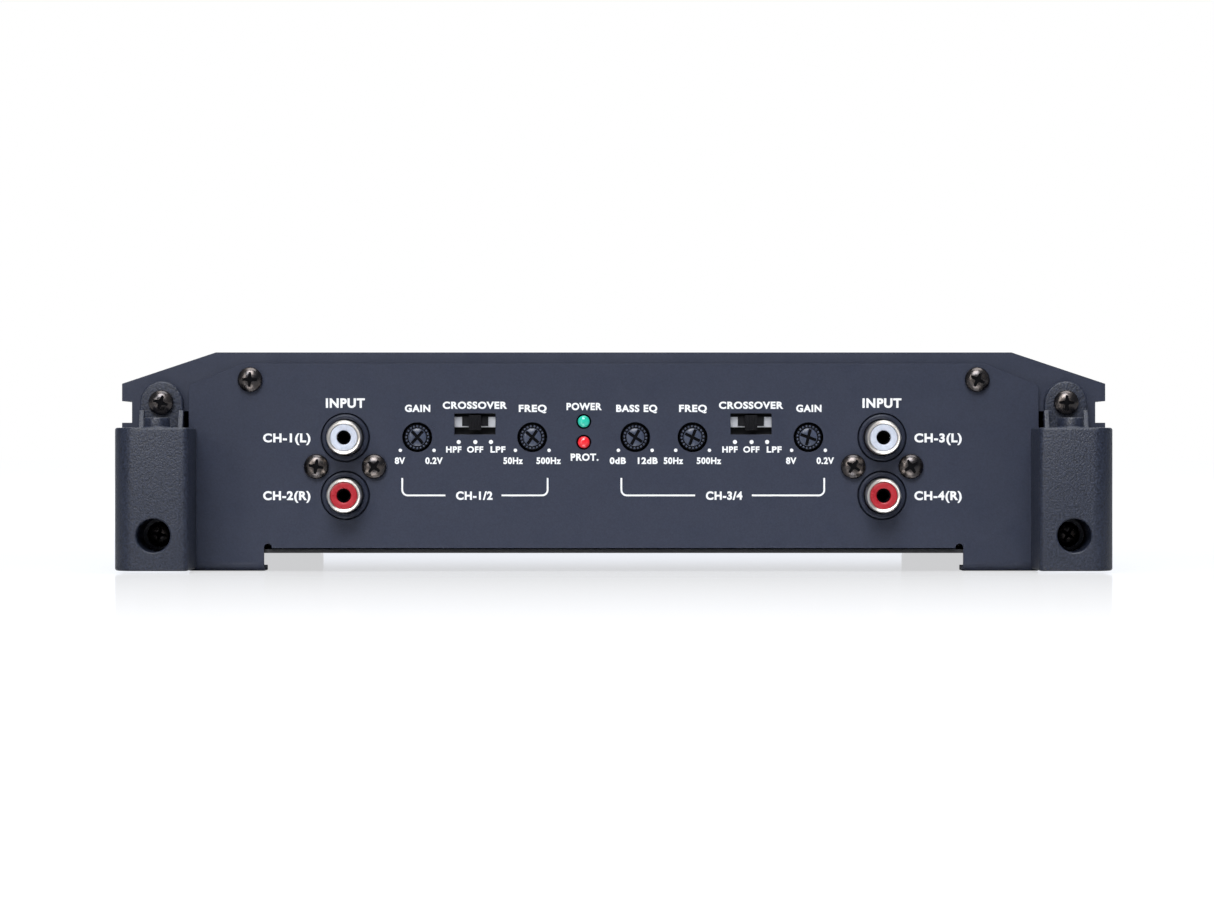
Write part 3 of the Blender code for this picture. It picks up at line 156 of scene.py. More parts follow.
def smooth_plastic(name, colour):
    """Glossy coloured plastic."""
    soft = (1.2, 2.0)
    return finish(name, colour, 0.32, tint=(soft, 0.92, 1.06),
                  rough=(soft, 0.26, 0.38), bumps=[((0.3,), 0.005, 0.3)],
                  sockets={"Subsurface Weight": 0.08, "Subsurface Radius": (MM, 0.6 * MM, 0.5 * MM)})


def lens(name, colour):
    """A lit, diffused indicator lens."""
    soft = (0.9, 2.0)
    return finish(name, colour, 0.14, tint=(soft, 0.85, 1.15), rough=(soft, 0.10, 0.18),
                  sockets={"Coat Weight": 0.6, "Coat Roughness": 0.05,
                           "Emission Color": (*colour, 1.0), "Emission Strength": 0.20})


def circuit_green():
    """Green solder mask with faint tracks under it."""
    material = finish("solder_mask", (0.008, 0.085, 0.035), 0.32, rough=((2,), 0.28, 0.40))
    tree = material.node_tree
    shader = tree.nodes["Principled BSDF"]
    tracks = add(tree, "TexBrick", {
        "Vector": add(tree, "TexCoord").outputs["Object"], "Scale": 160.0, "Mortar Size": 0.06,
        "Color1": (0.006, 0.070, 0.028, 1.0), "Color2": (0.008, 0.095, 0.038, 1.0),
        "Mortar": (0.016, 0.150, 0.060, 1.0),
    })
    raised = add(tree, "Bump", {"Height": tracks.outputs["Fac"], "Distance": -0.03 * MM, "Strength": 0.4})
    tree.links.new(tracks.outputs["Color"], shader.inputs["Base Color"])
    tree.links.new(raised.outputs["Normal"], shader.inputs["Normal"])
    return material


GRAIN = (0.35, 4.0)
COAT = finish("powder_coat", (0.019, 0.025, 0.049), 0.48, tint=(GRAIN, 0.86, 1.14),
              rough=((6,), 0.42, 0.52), bumps=[(GRAIN, 0.018, 0.7), ((1.1, 2.0), 0.02, 0.35)],
              sockets={SPECULAR: 0.42})
DRAWN = (0.5, 2.0, (1.0, 400.0, 1.0))  # the extrusion's faint drawing lines
EXTRUSION = finish("extrusion_coat", (0.020, 0.026, 0.050), 0.44,
                   tint=(GRAIN, 0.88, 1.12), rough=((8,), 0.38, 0.47),
                   bumps=[(GRAIN, 0.016, 0.6), (DRAWN, 0.006, 0.6)])
COARSE = (0.48, 3.0)
FOOT = finish("foot_plastic", (0.016, 0.021, 0.039), 0.46, tint=(COARSE, 0.45, 1.5),
              rough=(COARSE, 0.34, 0.52), bumps=[(COARSE, 0.13, 1.0)])
BLACK = moulded("moulded_black")
GLOSS_BLACK = moulded("gloss_black", 0.26)
BEZEL = moulded("bezel_plastic", 0.40, (0.016, 0.020, 0.036))
DISC = finish("knob_disc", (0.050, 0.062, 0.100), 0.30, tint=((0.3, 2.0), 0.8, 1.2),
              bumps=[((0.3, 2.0), 0.01, 0.5)])
WORN = (1.6, 4.0)
SCREW = finish("black_nickel", (0.10, 0.093, 0.093), 0.28, 1.0,
               tint=(WORN, (0.070, 0.067, 0.071), (0.135, 0.116, 0.106)), rough=(WORN, 0.22, 0.30))
NICKEL = finish("bright_nickel", (0.86, 0.81, 0.75), 0.34, 1.0,
                tint=((2.5,), (0.82, 0.77, 0.70), (0.90, 0.86, 0.81)), rough=((2.5,), 0.30, 0.38))
PLATE = finish("switch_plate", (0.90, 0.91, 0.95), 0.36, 1.0,
               tint=((2,), (0.84, 0.85, 0.90), (0.95, 0.96, 0.98)))
WHITE = smooth_plastic("white_insulator", (0.60, 0.64, 0.74))
RED = smooth_plastic("red_insulator", (0.42, 0.012, 0.022))
GREEN_LENS = lens("green_lens", (0.02, 0.50, 0.36))
RED_LENS = lens("red_lens", (0.75, 0.018, 0.028))
PRINT = (0.15, 2.0)
INK = finish("white_ink", (0.86, 0.88, 0.90), 0.55,
             tint=(PRINT, (0.84, 0.86, 0.88), (0.95, 0.96, 0.97)), bumps=[(PRINT, 0.004, 0.4)])
SATIN = (0.4, 3.0)
STEEL = finish("satin_black_steel", (0.012, 0.012, 0.014), 0.45, tint=(SATIN, 0.7, 1.6),
               rough=((5,), 0.38, 0.52), bumps=[(SATIN, 0.015, 0.6)])
BOARD = circuit_green()
COPPER = finish("copper_winding", (0.55, 0.20, 0.07), 0.28, 1.0,
                tint=((0.8,), (0.42, 0.14, 0.05), (0.66, 0.27, 0.10)), rough=((1.5,), 0.22, 0.36))
SHRUNK = (3, 2.0)
SLEEVE = finish("capacitor_sleeve", (0.015, 0.022, 0.075), 0.30,
                tint=(SHRUNK, 0.8, 1.3), rough=(SHRUNK, 0.24, 0.38), bumps=[(SHRUNK, 0.03, 0.3)])
MILLED = (0.15, 2.0, (1.0, 60.0, 1.0))  # fine cutter lines
ALUMINIUM = finish("milled_aluminium", (0.62, 0.63, 0.64), 0.34, 1.0,
                   tint=((4,), (0.56, 0.57, 0.58), (0.68, 0.69, 0.70)), rough=(MILLED, 0.28, 0.44),
                   bumps=[(MILLED, 0.006, 0.5)])
FUSE = finish("fuse_plastic", (0.85, 0.24, 0.02), 0.18,
              tint=((1.5,), (0.78, 0.20, 0.015), (0.90, 0.30, 0.03)), rough=((1.5,), 0.12, 0.24),
              sockets={"Transmission Weight": 0.55, "IOR": 1.5})
# Near-black: painted shade in screw recesses, driver slots, jack holes and round each lens, and the
# ferrite core's own black.
BLACK_AND_PAINTED_SHADE = finish("black_and_painted_shade", (0.002, 0.002, 0.003), 0.85, tint=((0.4,), 0.7, 1.3),
              sockets={SPECULAR: 0.12})


# ---------------------------------------------------------------- shapes
def arc(middle, radius, start, end, steps):
    """Points along an arc, both ends included."""
    angles = [start + (end - start) * i / steps for i in range(steps + 1)]
    return [(middle[0] + radius * cos(a), middle[1] + radius * sin(a)) for a in angles]


def circle(middle, radius, steps=FINE_ROUND):
    """A closed round outline."""
    return arc(middle, radius, 0.0, 2 * pi, steps)[:-1]


def rectangle(low_x, high_x, low_y, high_y):
    """A closed four-sided outline."""
    return [(low_x, low_y), (high_x, low_y), (high_x, high_y), (low_x, high_y)]


def mirrored(points):
    """A right half-outline with its mirror image added."""
    return points + [(-x, y) for x, y in reversed(points)]


def placed(mesh, matrix):
    """The mesh moved by a matrix; a mirroring one keeps its faces pointing out."""
    mesh.transform(matrix)
    if matrix.determinant() < 0:
        mesh.flip_normals()
    return mesh


def shift(x, y, z):
    """The matrix of a move."""
    return Matrix.Translation((x, y, z))


PLANES = {  # the outline's X, its Y, and the direction it is extruded in
    "XY": Matrix(((1, 0, 0), (0, 1, 0), (0, 0, 1))).transposed().to_4x4(),
    "XZ": Matrix(((1, 0, 0), (0, 0, 1), (0, -1, 0))).transposed().to_4x4(),
    "YZ": Matrix(((0, 1, 0), (0, 0, 1), (1, 0, 0))).transposed().to_4x4(),
}


WELD = 1e-4  # corners this close are one


def written(work, mesh=None):
    """A bmesh written to a mesh, a new one unless one is given."""
    mesh = mesh or bpy.data.meshes.new("made")
    work.to_mesh(mesh)
    work.free()
    return mesh


def cleaned(work, mesh=None):
    """The same, welded and facing out."""
    bmesh.ops.remove_doubles(work, verts=work.verts, dist=WELD)
    bmesh.ops.recalc_face_normals(work, faces=work.faces)
    return written(work, mesh)


def from_curve(curve):
    """A curve's mesh; the curve itself is removed."""
    holder = bpy.data.objects.new(curve.name, curve)
    mesh = bpy.data.meshes.new_from_object(holder)
    bpy.data.objects.remove(holder)
    bpy.data.curves.remove(curve)
    return mesh


def extruded(outlines, plane, low, high, edge=0.0):
    """A solid from an outer outline and any holes, low to high; edge rounds its rims."""
    curve = bpy.data.curves.new("outline", "CURVE")
    curve.dimensions = "2D"
    curve.fill_mode = "BOTH"
    curve.extrude = (high - low) / 2 - edge
    if edge:
        curve.bevel_depth = edge
        curve.bevel_resolution = 3
        curve.offset = -edge
    for outline in outlines:
        spline = curve.splines.new("POLY")
        spline.points.add(len(outline) - 1)
        for point, (x, y) in zip(spline.points, outline):
            point.co = (x, y, 0.0, 1.0)
        spline.use_cyclic_u = True
    mesh = from_curve(curve)
    work = bmesh.new()
    work.from_mesh(mesh)
    cleaned(work, mesh)
    middle = (low + high) / 2 * (-1 if plane == "XZ" else 1)
    return placed(mesh, PLANES[plane] @ shift(0, 0, middle))


def box(low, high):
    """A block between two corners."""
    return extruded([rectangle(low[0], high[0], low[1], high[1])], "XY", low[2], high[2])


def block(x, half_x, y, z, half_z):
    """A block about a middle in X and Z, between two distances along Y."""
    return box((x - half_x, y[0], z - half_z), (x + half_x, y[1], z + half_z))


def crossed(reach, half, y):
    """Two bars that cross on the Y axis."""
    return [block(0, reach, y, 0, half), block(0, half, y, 0, reach)]


def turned(profile, steps=ROUND, closed=False):
    """A solid of revolution about -Y: the profile holds (radius, distance towards -Y)."""
    work = bmesh.new()
    points = [work.verts.new((radius, -reach, 0.0)) for radius, reach in profile]
    ends = zip(points, points[1:] + points[:1]) if closed else zip(points, points[1:])
    edges = [work.edges.new(pair) for pair in ends]
    bmesh.ops.spin(
        work, geom=points + edges, axis=(0, 1, 0), cent=(0, 0, 0),
        angle=2 * pi, steps=steps, use_merge=True,
    )
    return cleaned(work)


def upright(mesh, x, y, z):
    """A turned mesh stood on end, its -Y end upwards, at a place."""
    turn = Matrix.Rotation(-pi / 2, 4, "X")
    return placed(mesh, shift(x, y, z) @ turn)


def combined(mesh, others, operation):
    """The mesh with each of the others cut away or joined on, by exact Booleans."""
    base = bpy.data.objects.new("base", mesh)
    bpy.context.scene.collection.objects.link(base)
    helpers = []
    for other in others:
        helper = bpy.data.objects.new("helper", other)
        bpy.context.scene.collection.objects.link(helper)
        step = base.modifiers.new("step", "BOOLEAN")
        step.operation = operation
        step.solver = "EXACT"
        step.object = helper
        helpers.append(helper)
    bpy.context.view_layer.update()
    evaluated = base.evaluated_get(bpy.context.evaluated_depsgraph_get())
    result = bpy.data.meshes.new_from_object(evaluated)
    for made in [base, *helpers]:
        bpy.data.objects.remove(made)
    return result


def cut(mesh, *cutters):
    """The mesh with the cutters taken away."""
    return combined(mesh, cutters, "DIFFERENCE")


def joined(mesh, *others):
    """The mesh with the others joined on."""
    return combined(mesh, others, "UNION")


def together(meshes):
    """Several separate shells in one mesh."""
    work = bmesh.new()
    for mesh in meshes:
        work.from_mesh(mesh)
    return written(work)


def smooth(mesh, angle=radians(30)):
    """Smooth shading with sharp edges kept."""
    mesh.shade_smooth()
    mesh.set_sharp_from_angle(angle=angle)
    return mesh


def piece(name, mesh, look, body=CHASSIS, replaces=(), bevel=0.0, angle=30):
    """Puts one piece in the scene, riding on a body; bevel rounds its sharp edges."""
    mesh.materials.clear()
    mesh.materials.append(look)
    mesh.transform(Matrix.Scale(MM, 4))
    smooth(mesh, radians(angle))
    made = bpy.data.objects.new(name, mesh)
    bpy.context.scene.collection.objects.link(made)
    if bevel:
        rounded(made, bevel, angle)
    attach(made, body)
    if replaces:
        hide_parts(*replaces)


def rounded(made, width, angle):
    """Rounds an object's sharp edges without touching its mesh."""
    rounding = made.modifiers.new("rounding", "BEVEL")
    rounding.width = width * MM
    rounding.segments = 2
    rounding.limit_method = "ANGLE"
    rounding.angle_limit = radians(angle)


def refinish(node, look):
    """A CAD node that keeps its shape and takes a better finish."""
    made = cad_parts[node]
    made.data.materials.clear()
    made.data.materials.append(look)
    return made


# ---------------------------------------------------------------- end panels
PANEL_SHOULDER_DROP = 4.9
PANEL_SHOULDER_WIDTH = 13.1
PANEL_CORNER = 1.2
TAB_WIDTH = 18.1
BEND = 1.4
RELIEF = 1.9
BEZEL_RADIUS = 5.65
SHELL_RADIUS = 4.15
SCREW_RADIUS = 1.45
FIT = 0.3
POT_HOLE = 3.6
SWITCH_HALF = (4.95, 2.55)
LED_RADIUS = 1.5
PRESSED_EDGE = 0.12  # rounding along cut sheet edges


def panel_outline(high):
    """Either end panel's outline, down to where its tabs fold."""
    half = high.x
    fold = BEND + PANEL_SHEET
    lower_edge = COVER_HIGH.z + FIT
    inner = half - TAB_WIDTH
    relief = arc((inner - RELIEF / 2, lower_edge + 0.15), RELIEF / 2, 0.0, pi, 16)
    shoulder = high.z - PANEL_SHOULDER_DROP
    corner = arc((half - PANEL_CORNER, shoulder - PANEL_CORNER), PANEL_CORNER, pi / 3, 0.0, 8)
    points = [(half - PANEL_SHOULDER_WIDTH, high.z), *corner, (half, fold), (inner, fold)]
    return mirrored(points + relief + [(inner - RELIEF, lower_edge)])


def folded_tabs(mesh, reach):
    """Both lower tabs bent under: reach is -1 at the front panel and 1 at the rear one."""
    work = bmesh.new()
    work.from_mesh(mesh)
    fold = BEND + PANEL_SHEET
    depth = FRONT_HIGH.y - FRONT_LOW.y
    for tab in [f for f in work.faces if all(abs(v.co.z - fold) < 1e-3 for v in f.verts)]:
        bent = bmesh.ops.spin(
            work, geom=[tab], axis=(1, 0, 0), cent=(0, reach * (PANEL_BACK - BEND), fold),
            angle=-reach * pi / 2, steps=12,
        )
        bmesh.ops.delete(work, geom=[tab], context="FACES_ONLY")
        end = [g for g in bent["geom_last"] if isinstance(g, bmesh.types.BMFace)]
        run = bmesh.ops.extrude_face_region(work, geom=end)
        points = [g for g in run["geom"] if isinstance(g, bmesh.types.BMVert)]
        bmesh.ops.translate(work, verts=points, vec=(0, -reach * (depth - fold), 0))
        bmesh.ops.delete(work, geom=end, context="FACES_ONLY")
    return cleaned(work, mesh)


def panel_screw_holes(end):
    """Round holes for an end panel's own two screws."""
    places = [centre(f"{end}_panel_screw_{side}") for side in ("left", "right")]
    return [circle((p.x, p.z), SCREW_RADIUS + FIT) for p in places]


def front_panel():
    """The control panel with its round and square holes."""
    outlines = [panel_outline(FRONT_HIGH), *panel_screw_holes("front")]
    holes = [(f"rca_shell_{jack}", BEZEL_RADIUS + FIT, ROUND) for jack in JACKS]
    for corner in ("left_outer", "left_inner", "right_outer", "right_inner"):
        holes.append((f"rca_screw_{corner}", SCREW_RADIUS + FIT, FINE_ROUND))
    holes += [(f"{name}_knob", POT_HOLE, ROUND) for name in KNOBS]
    holes += [(name, LED_RADIUS + FIT, FINE_ROUND) for name in ("power_led", "protect_led")]
    for node, radius, sides in holes:
        at = centre(node)
        outlines.append(circle((at.x, at.z), radius, sides))
    for name in SWITCHES:
        at = centre(f"{name}_switch")
        half_x, half_z = SWITCH_HALF
        outlines.append(rectangle(at.x - half_x, at.x + half_x, at.z - half_z, at.z + half_z))
    plate = extruded(outlines, "XZ", -PANEL_FACE, -PANEL_BACK)
    piece("control_panel", folded_tabs(plate, -1), COAT, replaces=["front_panel"], bevel=PRESSED_EDGE)


def rear_panel():
    """The connection panel with an opening for each block."""
    outlines = [panel_outline(REAR_HIGH), *panel_screw_holes("rear")]
    for block in ("power_terminal_block", "fuse_holder", "speaker_terminal_block"):
        low, high = box_of(block)
        outlines.append(rectangle(low.x - FIT, high.x + FIT, low.z - FIT, high.z + FIT))
    plate = extruded(outlines, "XZ", PANEL_BACK, PANEL_FACE)
    piece("connection_panel", folded_tabs(plate, 1), COAT, replaces=["rear_panel"], bevel=PRESSED_EDGE)


# ---------------------------------------------------------------- screws
HEAD_RADIUS = 3.0
HEAD_HEIGHT = 2.1
RECESS_REACH = 2.05
RECESS_HALF = 0.42
RECESS_FILLET = 0.40
RECESS_DEPTH = 1.45
RECESS_TAPER = 0.45
PAINTED_SHADE_DEPTH = 0.30  # of the painted-shade cross fill in each recess, below the crown
SCREW_TURNS = (18, 2, 26, 41, 9, 33, 60)  # degrees that the crosses stand turned


def cross_cutter():
    """A tapering cross with rounded inner corners, standing through Y = 0."""
    outline = []
    inner = RECESS_HALF + RECESS_FILLET
    for quarter in range(4):
        turn = Matrix.Rotation(quarter * pi / 2, 2)
        fillet = arc((inner, inner), RECESS_FILLET, -pi / 2, -pi, 6)
        for point in [(RECESS_REACH, -RECESS_HALF * 0.8), (RECESS_REACH, RECESS_HALF * 0.8), *fillet]:
            outline.append(turn @ Vector(point))
    work = bmesh.new()
    rings = []
    for y, scale in ((-0.6, 1.15), (RECESS_DEPTH, RECESS_TAPER)):
        rings.append([work.verts.new((p.x * scale, y, p.y * scale)) for p in outline])
    count = len(outline)
    for i in range(count):
        j = (i + 1) % count
        work.faces.new((rings[0][i], rings[0][j], rings[1][j], rings[1][i]))
    work.faces.new(rings[0])
    work.faces.new(rings[1])
    return cleaned(work)


def recess_painted_shade():
    """A near-black cross that fills the floor of a cross recess: painted shade."""
    return cut(cross_cutter(), box((-5, -5, -5), (5, 0.0, 5)))


def screw_mesh(length):
    """A pan-head screw on Y = 0, its head towards -Y."""
    dome = []
    for step in range(11):
        angle = pi / 2 * (1 - step / 10)
        dome.append((HEAD_RADIUS * cos(angle) ** 0.85, HEAD_HEIGHT * (0.32 + 0.68 * sin(angle))))
    dome[0] = (0.0, HEAD_HEIGHT)
    profile = dome + [(HEAD_RADIUS, 0.12), (HEAD_RADIUS - 0.12, 0.0)]
    profile += [(SCREW_RADIUS, 0.0), (SCREW_RADIUS, -length + 1.0), (0.4, -length), (0.0, -length)]
    recess = placed(cross_cutter(), shift(0, -HEAD_HEIGHT + 0.05, 0))
    return smooth(cut(turned(profile, 48), recess), radians(35))


def screws():
    """Every screw at its CAD node, each turned a little differently."""
    meshes, painted_shade_fills, painted_shade_fill = {}, [], recess_painted_shade()
    nodes = [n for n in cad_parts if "screw_" in n]
    for index, node in enumerate(sorted(nodes)):
        low, high = box_of(node)
        length = round(high.y - low.y - HEAD_HEIGHT, 1)
        if length not in meshes:
            meshes[length] = screw_mesh(length)
        middle = centre(node)
        faces_front = middle.y < 0
        seat = low.y + HEAD_HEIGHT if faces_front else high.y - HEAD_HEIGHT
        place = shift(middle.x, seat, middle.z)
        turn = Matrix.Rotation(0 if faces_front else pi, 4, "Z")
        spin = Matrix.Rotation(radians(SCREW_TURNS[index % len(SCREW_TURNS)]), 4, "Y")
        mesh = placed(meshes[length].copy(), place @ turn @ spin)
        piece(f"{node}_fine", mesh, SCREW, replaces=[node], angle=35)
        # A near-black cross fill sits in each recess below the crown as painted shade.
        inset = shift(0, PAINTED_SHADE_DEPTH - HEAD_HEIGHT, 0)
        painted_shade_fills.append(placed(painted_shade_fill.copy(), place @ turn @ spin @ inset))
    piece("screw_recess_shade", together(painted_shade_fills), BLACK_AND_PAINTED_SHADE)


# ---------------------------------------------------------------- phono jacks
def jack_blocks():
    """Each jack block with its two round bezels."""
    for side, jacks in (("left", (1, 2)), ("right", (3, 4))):
        node = f"rca_block_{side}"
        low, high = box_of(node)
        seat = -PANEL_BACK + FIT
        block = box((low.x, seat, low.z), high)
        bezels, bores = [], []
        for jack in jacks:
            at = centre(f"rca_shell_{jack}")
            rise = -PANEL_FACE - low.y
            inner = SHELL_RADIUS + FIT
            profile = [(inner, -2.6), (inner, rise - 0.35), (inner + 0.25, rise - 0.1),
                       (inner + 0.45, rise), (BEZEL_RADIUS - 0.45, rise),
                       (BEZEL_RADIUS - 0.13, rise - 0.13), (BEZEL_RADIUS, rise - 0.45),
                       (BEZEL_RADIUS, -2.6)]
            ring = turned(profile, ROUND, closed=True)
            bezels.append(placed(ring, shift(at.x, -PANEL_FACE, at.z)))
            bores.append(extruded([circle((at.x, at.z), inner, ROUND)], "XZ", seat - 1.0, seat + 6))
        solid = joined(cut(block, *bores), *bezels)
        piece(f"jack_block_{side}", solid, BEZEL, replaces=[node], angle=40)


def jacks():
    """Barrel, insulator and pin contact of each phono jack; the near-black contact is painted shade."""
    wall = 0.55
    for jack in JACKS:
        shell, insert = f"rca_shell_{jack}", f"rca_insert_{jack}"
        at = centre(shell)
        low, high = box_of(shell)
        rise, depth = -PANEL_FACE - low.y, high.y + PANEL_FACE
        inner = SHELL_RADIUS - wall
        lip = SHELL_RADIUS - 0.86
        barrel = [(SHELL_RADIUS, -depth), (SHELL_RADIUS, rise - 0.42),
                  (SHELL_RADIUS - 0.08, rise - 0.16), (SHELL_RADIUS - 0.24, rise),
                  (lip + 0.12, rise - 0.05), (lip, rise - 0.2), (lip, rise - 1.1), (inner, rise - 1.2),
                  (inner, -depth)]
        move = shift(at.x, -PANEL_FACE, at.z)
        piece(f"jack_barrel_{jack}", placed(turned(barrel, ROUND, closed=True), move), NICKEL,
              replaces=[shell], angle=50)
        face = -PANEL_FACE - box_of(insert)[0].y
        hole, radius = 1.7, lip - 0.05
        core = [(0.0, face - 9.0), (hole, face - 9.0), (hole, face - 0.22), (hole + 0.07, face - 0.07),
                (hole + 0.22, face), (radius - 0.20, face), (radius - 0.05, face - 0.06),
                (radius, face - 0.2), (radius, -depth), (0.0, -depth)]
        piece(f"jack_insulator_{jack}", placed(turned(core, ROUND), move), WHITE if jack % 2 else RED,
              replaces=[insert], angle=50)
        # The pin contact is near-black: painted shade deep in the insulator's hole.
        contact = [(1.62, face - 8.8), (1.62, face - 0.5), (1.50, face - 0.4), (1.34, face - 0.6),
                   (1.30, face - 8.0), (0.0, face - 8.2), (0.0, face - 8.8)]
        split = cut(turned(contact, FINE_ROUND), *crossed(2, 0.2, (-face - 1.0, -face + 6)))
        piece(f"shaded_jack_contact_{jack}", placed(split, move), BLACK_AND_PAINTED_SHADE, angle=40)


# ---------------------------------------------------------------- trimmers
KNOB_RADIUS = 3.1
RING_INNER = 2.20
DISC_RADIUS = 2.16
RING_STUDS = 20
STUD_CIRCLE = 2.66
SLOT_REACH = 2.0
SLOT_HALF = 0.38
SLOT_ANGLE = radians(48)


def knob_ring():
    """The black crown round an adjuster, with a groove in its face."""
    face = -0.55
    front = [(RING_INNER, -5.5), (RING_INNER, -0.30), (RING_INNER + 0.06, -0.22),
             (RING_INNER + 0.14, face), (KNOB_RADIUS - 0.22, face), (KNOB_RADIUS - 0.14, -0.18),
             (KNOB_RADIUS - 0.03, -0.30), (KNOB_RADIUS - 0.03, -5.5)]
    return turned(front, ROUND, closed=True)


def knob_studs():
    """The circle of small studs on an adjuster's crown."""
    stud = [(0.0, -0.05), (0.16, -0.09), (0.26, -0.2), (0.28, -0.7), (0.0, -0.7)]
    parts = []
    for tooth in range(RING_STUDS):
        turn = Matrix.Rotation(2 * pi * tooth / RING_STUDS, 4, "Y")
        parts.append(placed(turned(stud, 12), turn @ shift(STUD_CIRCLE, 0, 0)))
    return together(parts)


SLOT_SKEW = radians(84)  # between its two bars


def slot_bars(half, depth, start=-1.0):
    """The two crossed bars of an adjuster's driver slot, from start down to a depth."""
    bars = []
    for turn in (SLOT_ANGLE, SLOT_ANGLE + SLOT_SKEW):
        bar = block(0, SLOT_REACH, (start, depth), 0, half)
        bars.append(placed(bar, Matrix.Rotation(-turn, 4, "Y")))
    return bars


def knob_core():
    """The slate middle of an adjuster, with its crossed driver slot, and the spindle."""
    profile = [(0.0, -0.10), (DISC_RADIUS - 0.3, -0.12), (DISC_RADIUS, -0.30), (DISC_RADIUS, -6.0),
               (1.65, -6.2), (1.65, -9.4), (0.0, -9.4)]
    return cut(turned(profile, ROUND), *slot_bars(SLOT_HALF, 1.1))


def trimmers():
    """Each adjuster: a studded crown and a slotted core that turn together, the slot's floor filled with
    painted shade.
    """
    ring, studs, core = knob_ring(), knob_studs(), knob_core()
    # A near-black fill in the lower part of each driver slot: painted shade.
    painted_shade_fill = joined(*slot_bars(SLOT_HALF - 0.02, 1.2, 0.35))
    for index, name in enumerate(KNOBS):
        node = f"{name}_knob"
        at = centre(node)
        face = box_of(node)[0].y
        spin = Matrix.Rotation(radians(-7 * index), 4, "Y")
        move = shift(at.x, face, at.z) @ spin
        piece(f"{name}_crown", placed(ring.copy(), move), GLOSS_BLACK, f"{name}_adjuster",
              replaces=[node], angle=35)
        piece(f"{name}_studs", placed(studs.copy(), move), DISC, f"{name}_adjuster", angle=35)
        piece(f"{name}_core", placed(core.copy(), move), DISC, f"{name}_adjuster", angle=35)
        piece(f"{name}_slot", placed(painted_shade_fill.copy(), move), BLACK_AND_PAINTED_SHADE, f"{name}_adjuster", angle=35)
        refinish(f"{name}_pot", BLACK)


# ---------------------------------------------------------------- slide switches
def switches():
    """Case, bright plate, and the ribbed slider of each slide switch."""
    for name in SWITCHES:
        case_low, case_high = box_of(f"{name}_switch")
        slide_low, slide_high = box_of(f"{name}_slider")
        at = centre(f"{name}_switch")
        wall = 1.2
        case = box(case_low, case_high)
        cavity = box((case_low.x + wall, case_low.y - 1.0, case_low.z + wall),
                     (case_high.x - wall, case_low.y + 3.0, case_high.z - wall))
        piece(f"{name}_case", cut(case, cavity), BLACK, replaces=[f"{name}_switch"],
              bevel=0.1)
        plate_face = case_low.y + 1.25
        plate = box((case_low.x + wall + 0.05, plate_face, at.z - 0.8),
                    (case_high.x - wall - 0.05, plate_face + 0.3, at.z + 1.75))
        piece(f"{name}_plate", plate, PLATE, bevel=0.06)
        body = f"{name}_selector"
        carrier = box((slide_low.x, case_low.y + 0.35, at.z - 0.5),
                      (slide_high.x, plate_face - 0.1, at.z + 1.85))
        grip_half = 1.45
        grip = box((at.x - grip_half, slide_low.y + 0.1, at.z - 1.45),
                   (at.x + grip_half, plate_face - 0.15, at.z + 2.05))
        grooves = []
        for step in range(-3, 4):
            x = at.x + step * grip_half / 3.6
            grooves.append(block(x, 0.12, (slide_low.y - 1.0, slide_low.y + 0.5), at.z, 3))
        solid = cut(joined(carrier, grip), *grooves)
        piece(f"{name}_grip", solid, BLACK, body, replaces=[f"{name}_slider"], bevel=0.07)


# ---------------------------------------------------------------- indicator lights
def lights_on_panel():
    """Domed lenses, each in a near-black holder whose thin ring round the lens is painted shade of the
    gap.
    """
    radius, holder = 1.42, 1.9
    for name, look in (("power_led", GREEN_LENS), ("protect_led", RED_LENS)):
        low, high = box_of(name)
        at = centre(name)
        rise = -PANEL_FACE - low.y
        dome = [(radius * sin(a), rise - radius * 0.55 * (1 - cos(a)))
                for a in [pi / 2 * i / 10 for i in range(11)]]
        back = -PANEL_FACE - high.y
        move = shift(at.x, -PANEL_FACE, at.z)
        lens_mesh = turned(dome + [(radius, back), (0.0, back)], FINE_ROUND)
        piece(f"{name}_lens", placed(lens_mesh, move), look, replaces=[name], angle=40)
        # The holder's ring round each lens is near-black as painted shade of the gap in the panel's hole.
        ring = [(radius + 0.05, -2.4), (holder, -2.4), (holder, back), (radius + 0.05, back)]
        piece(f"{name}_holder", placed(turned(ring, FINE_ROUND, closed=True), move), BLACK_AND_PAINTED_SHADE, angle=40)


# ---------------------------------------------------------------- corner feet
FOOT_FLAT = (101.9, 113.2)  # the flat part of the front face, along X
FOOT_TOP = 34.4
FOOT_EDGE = 0.55
EAR_RADIUS = 5.15
EAR_PLATE = 3.0
BOSS_RADIUS = 3.1
BOSS_RISE = 2.4
MOUNT_HOLE = 2.1
DRIVER_HOLE = 4.0
MOUNT_REACH = 14.0  # from the panel's face


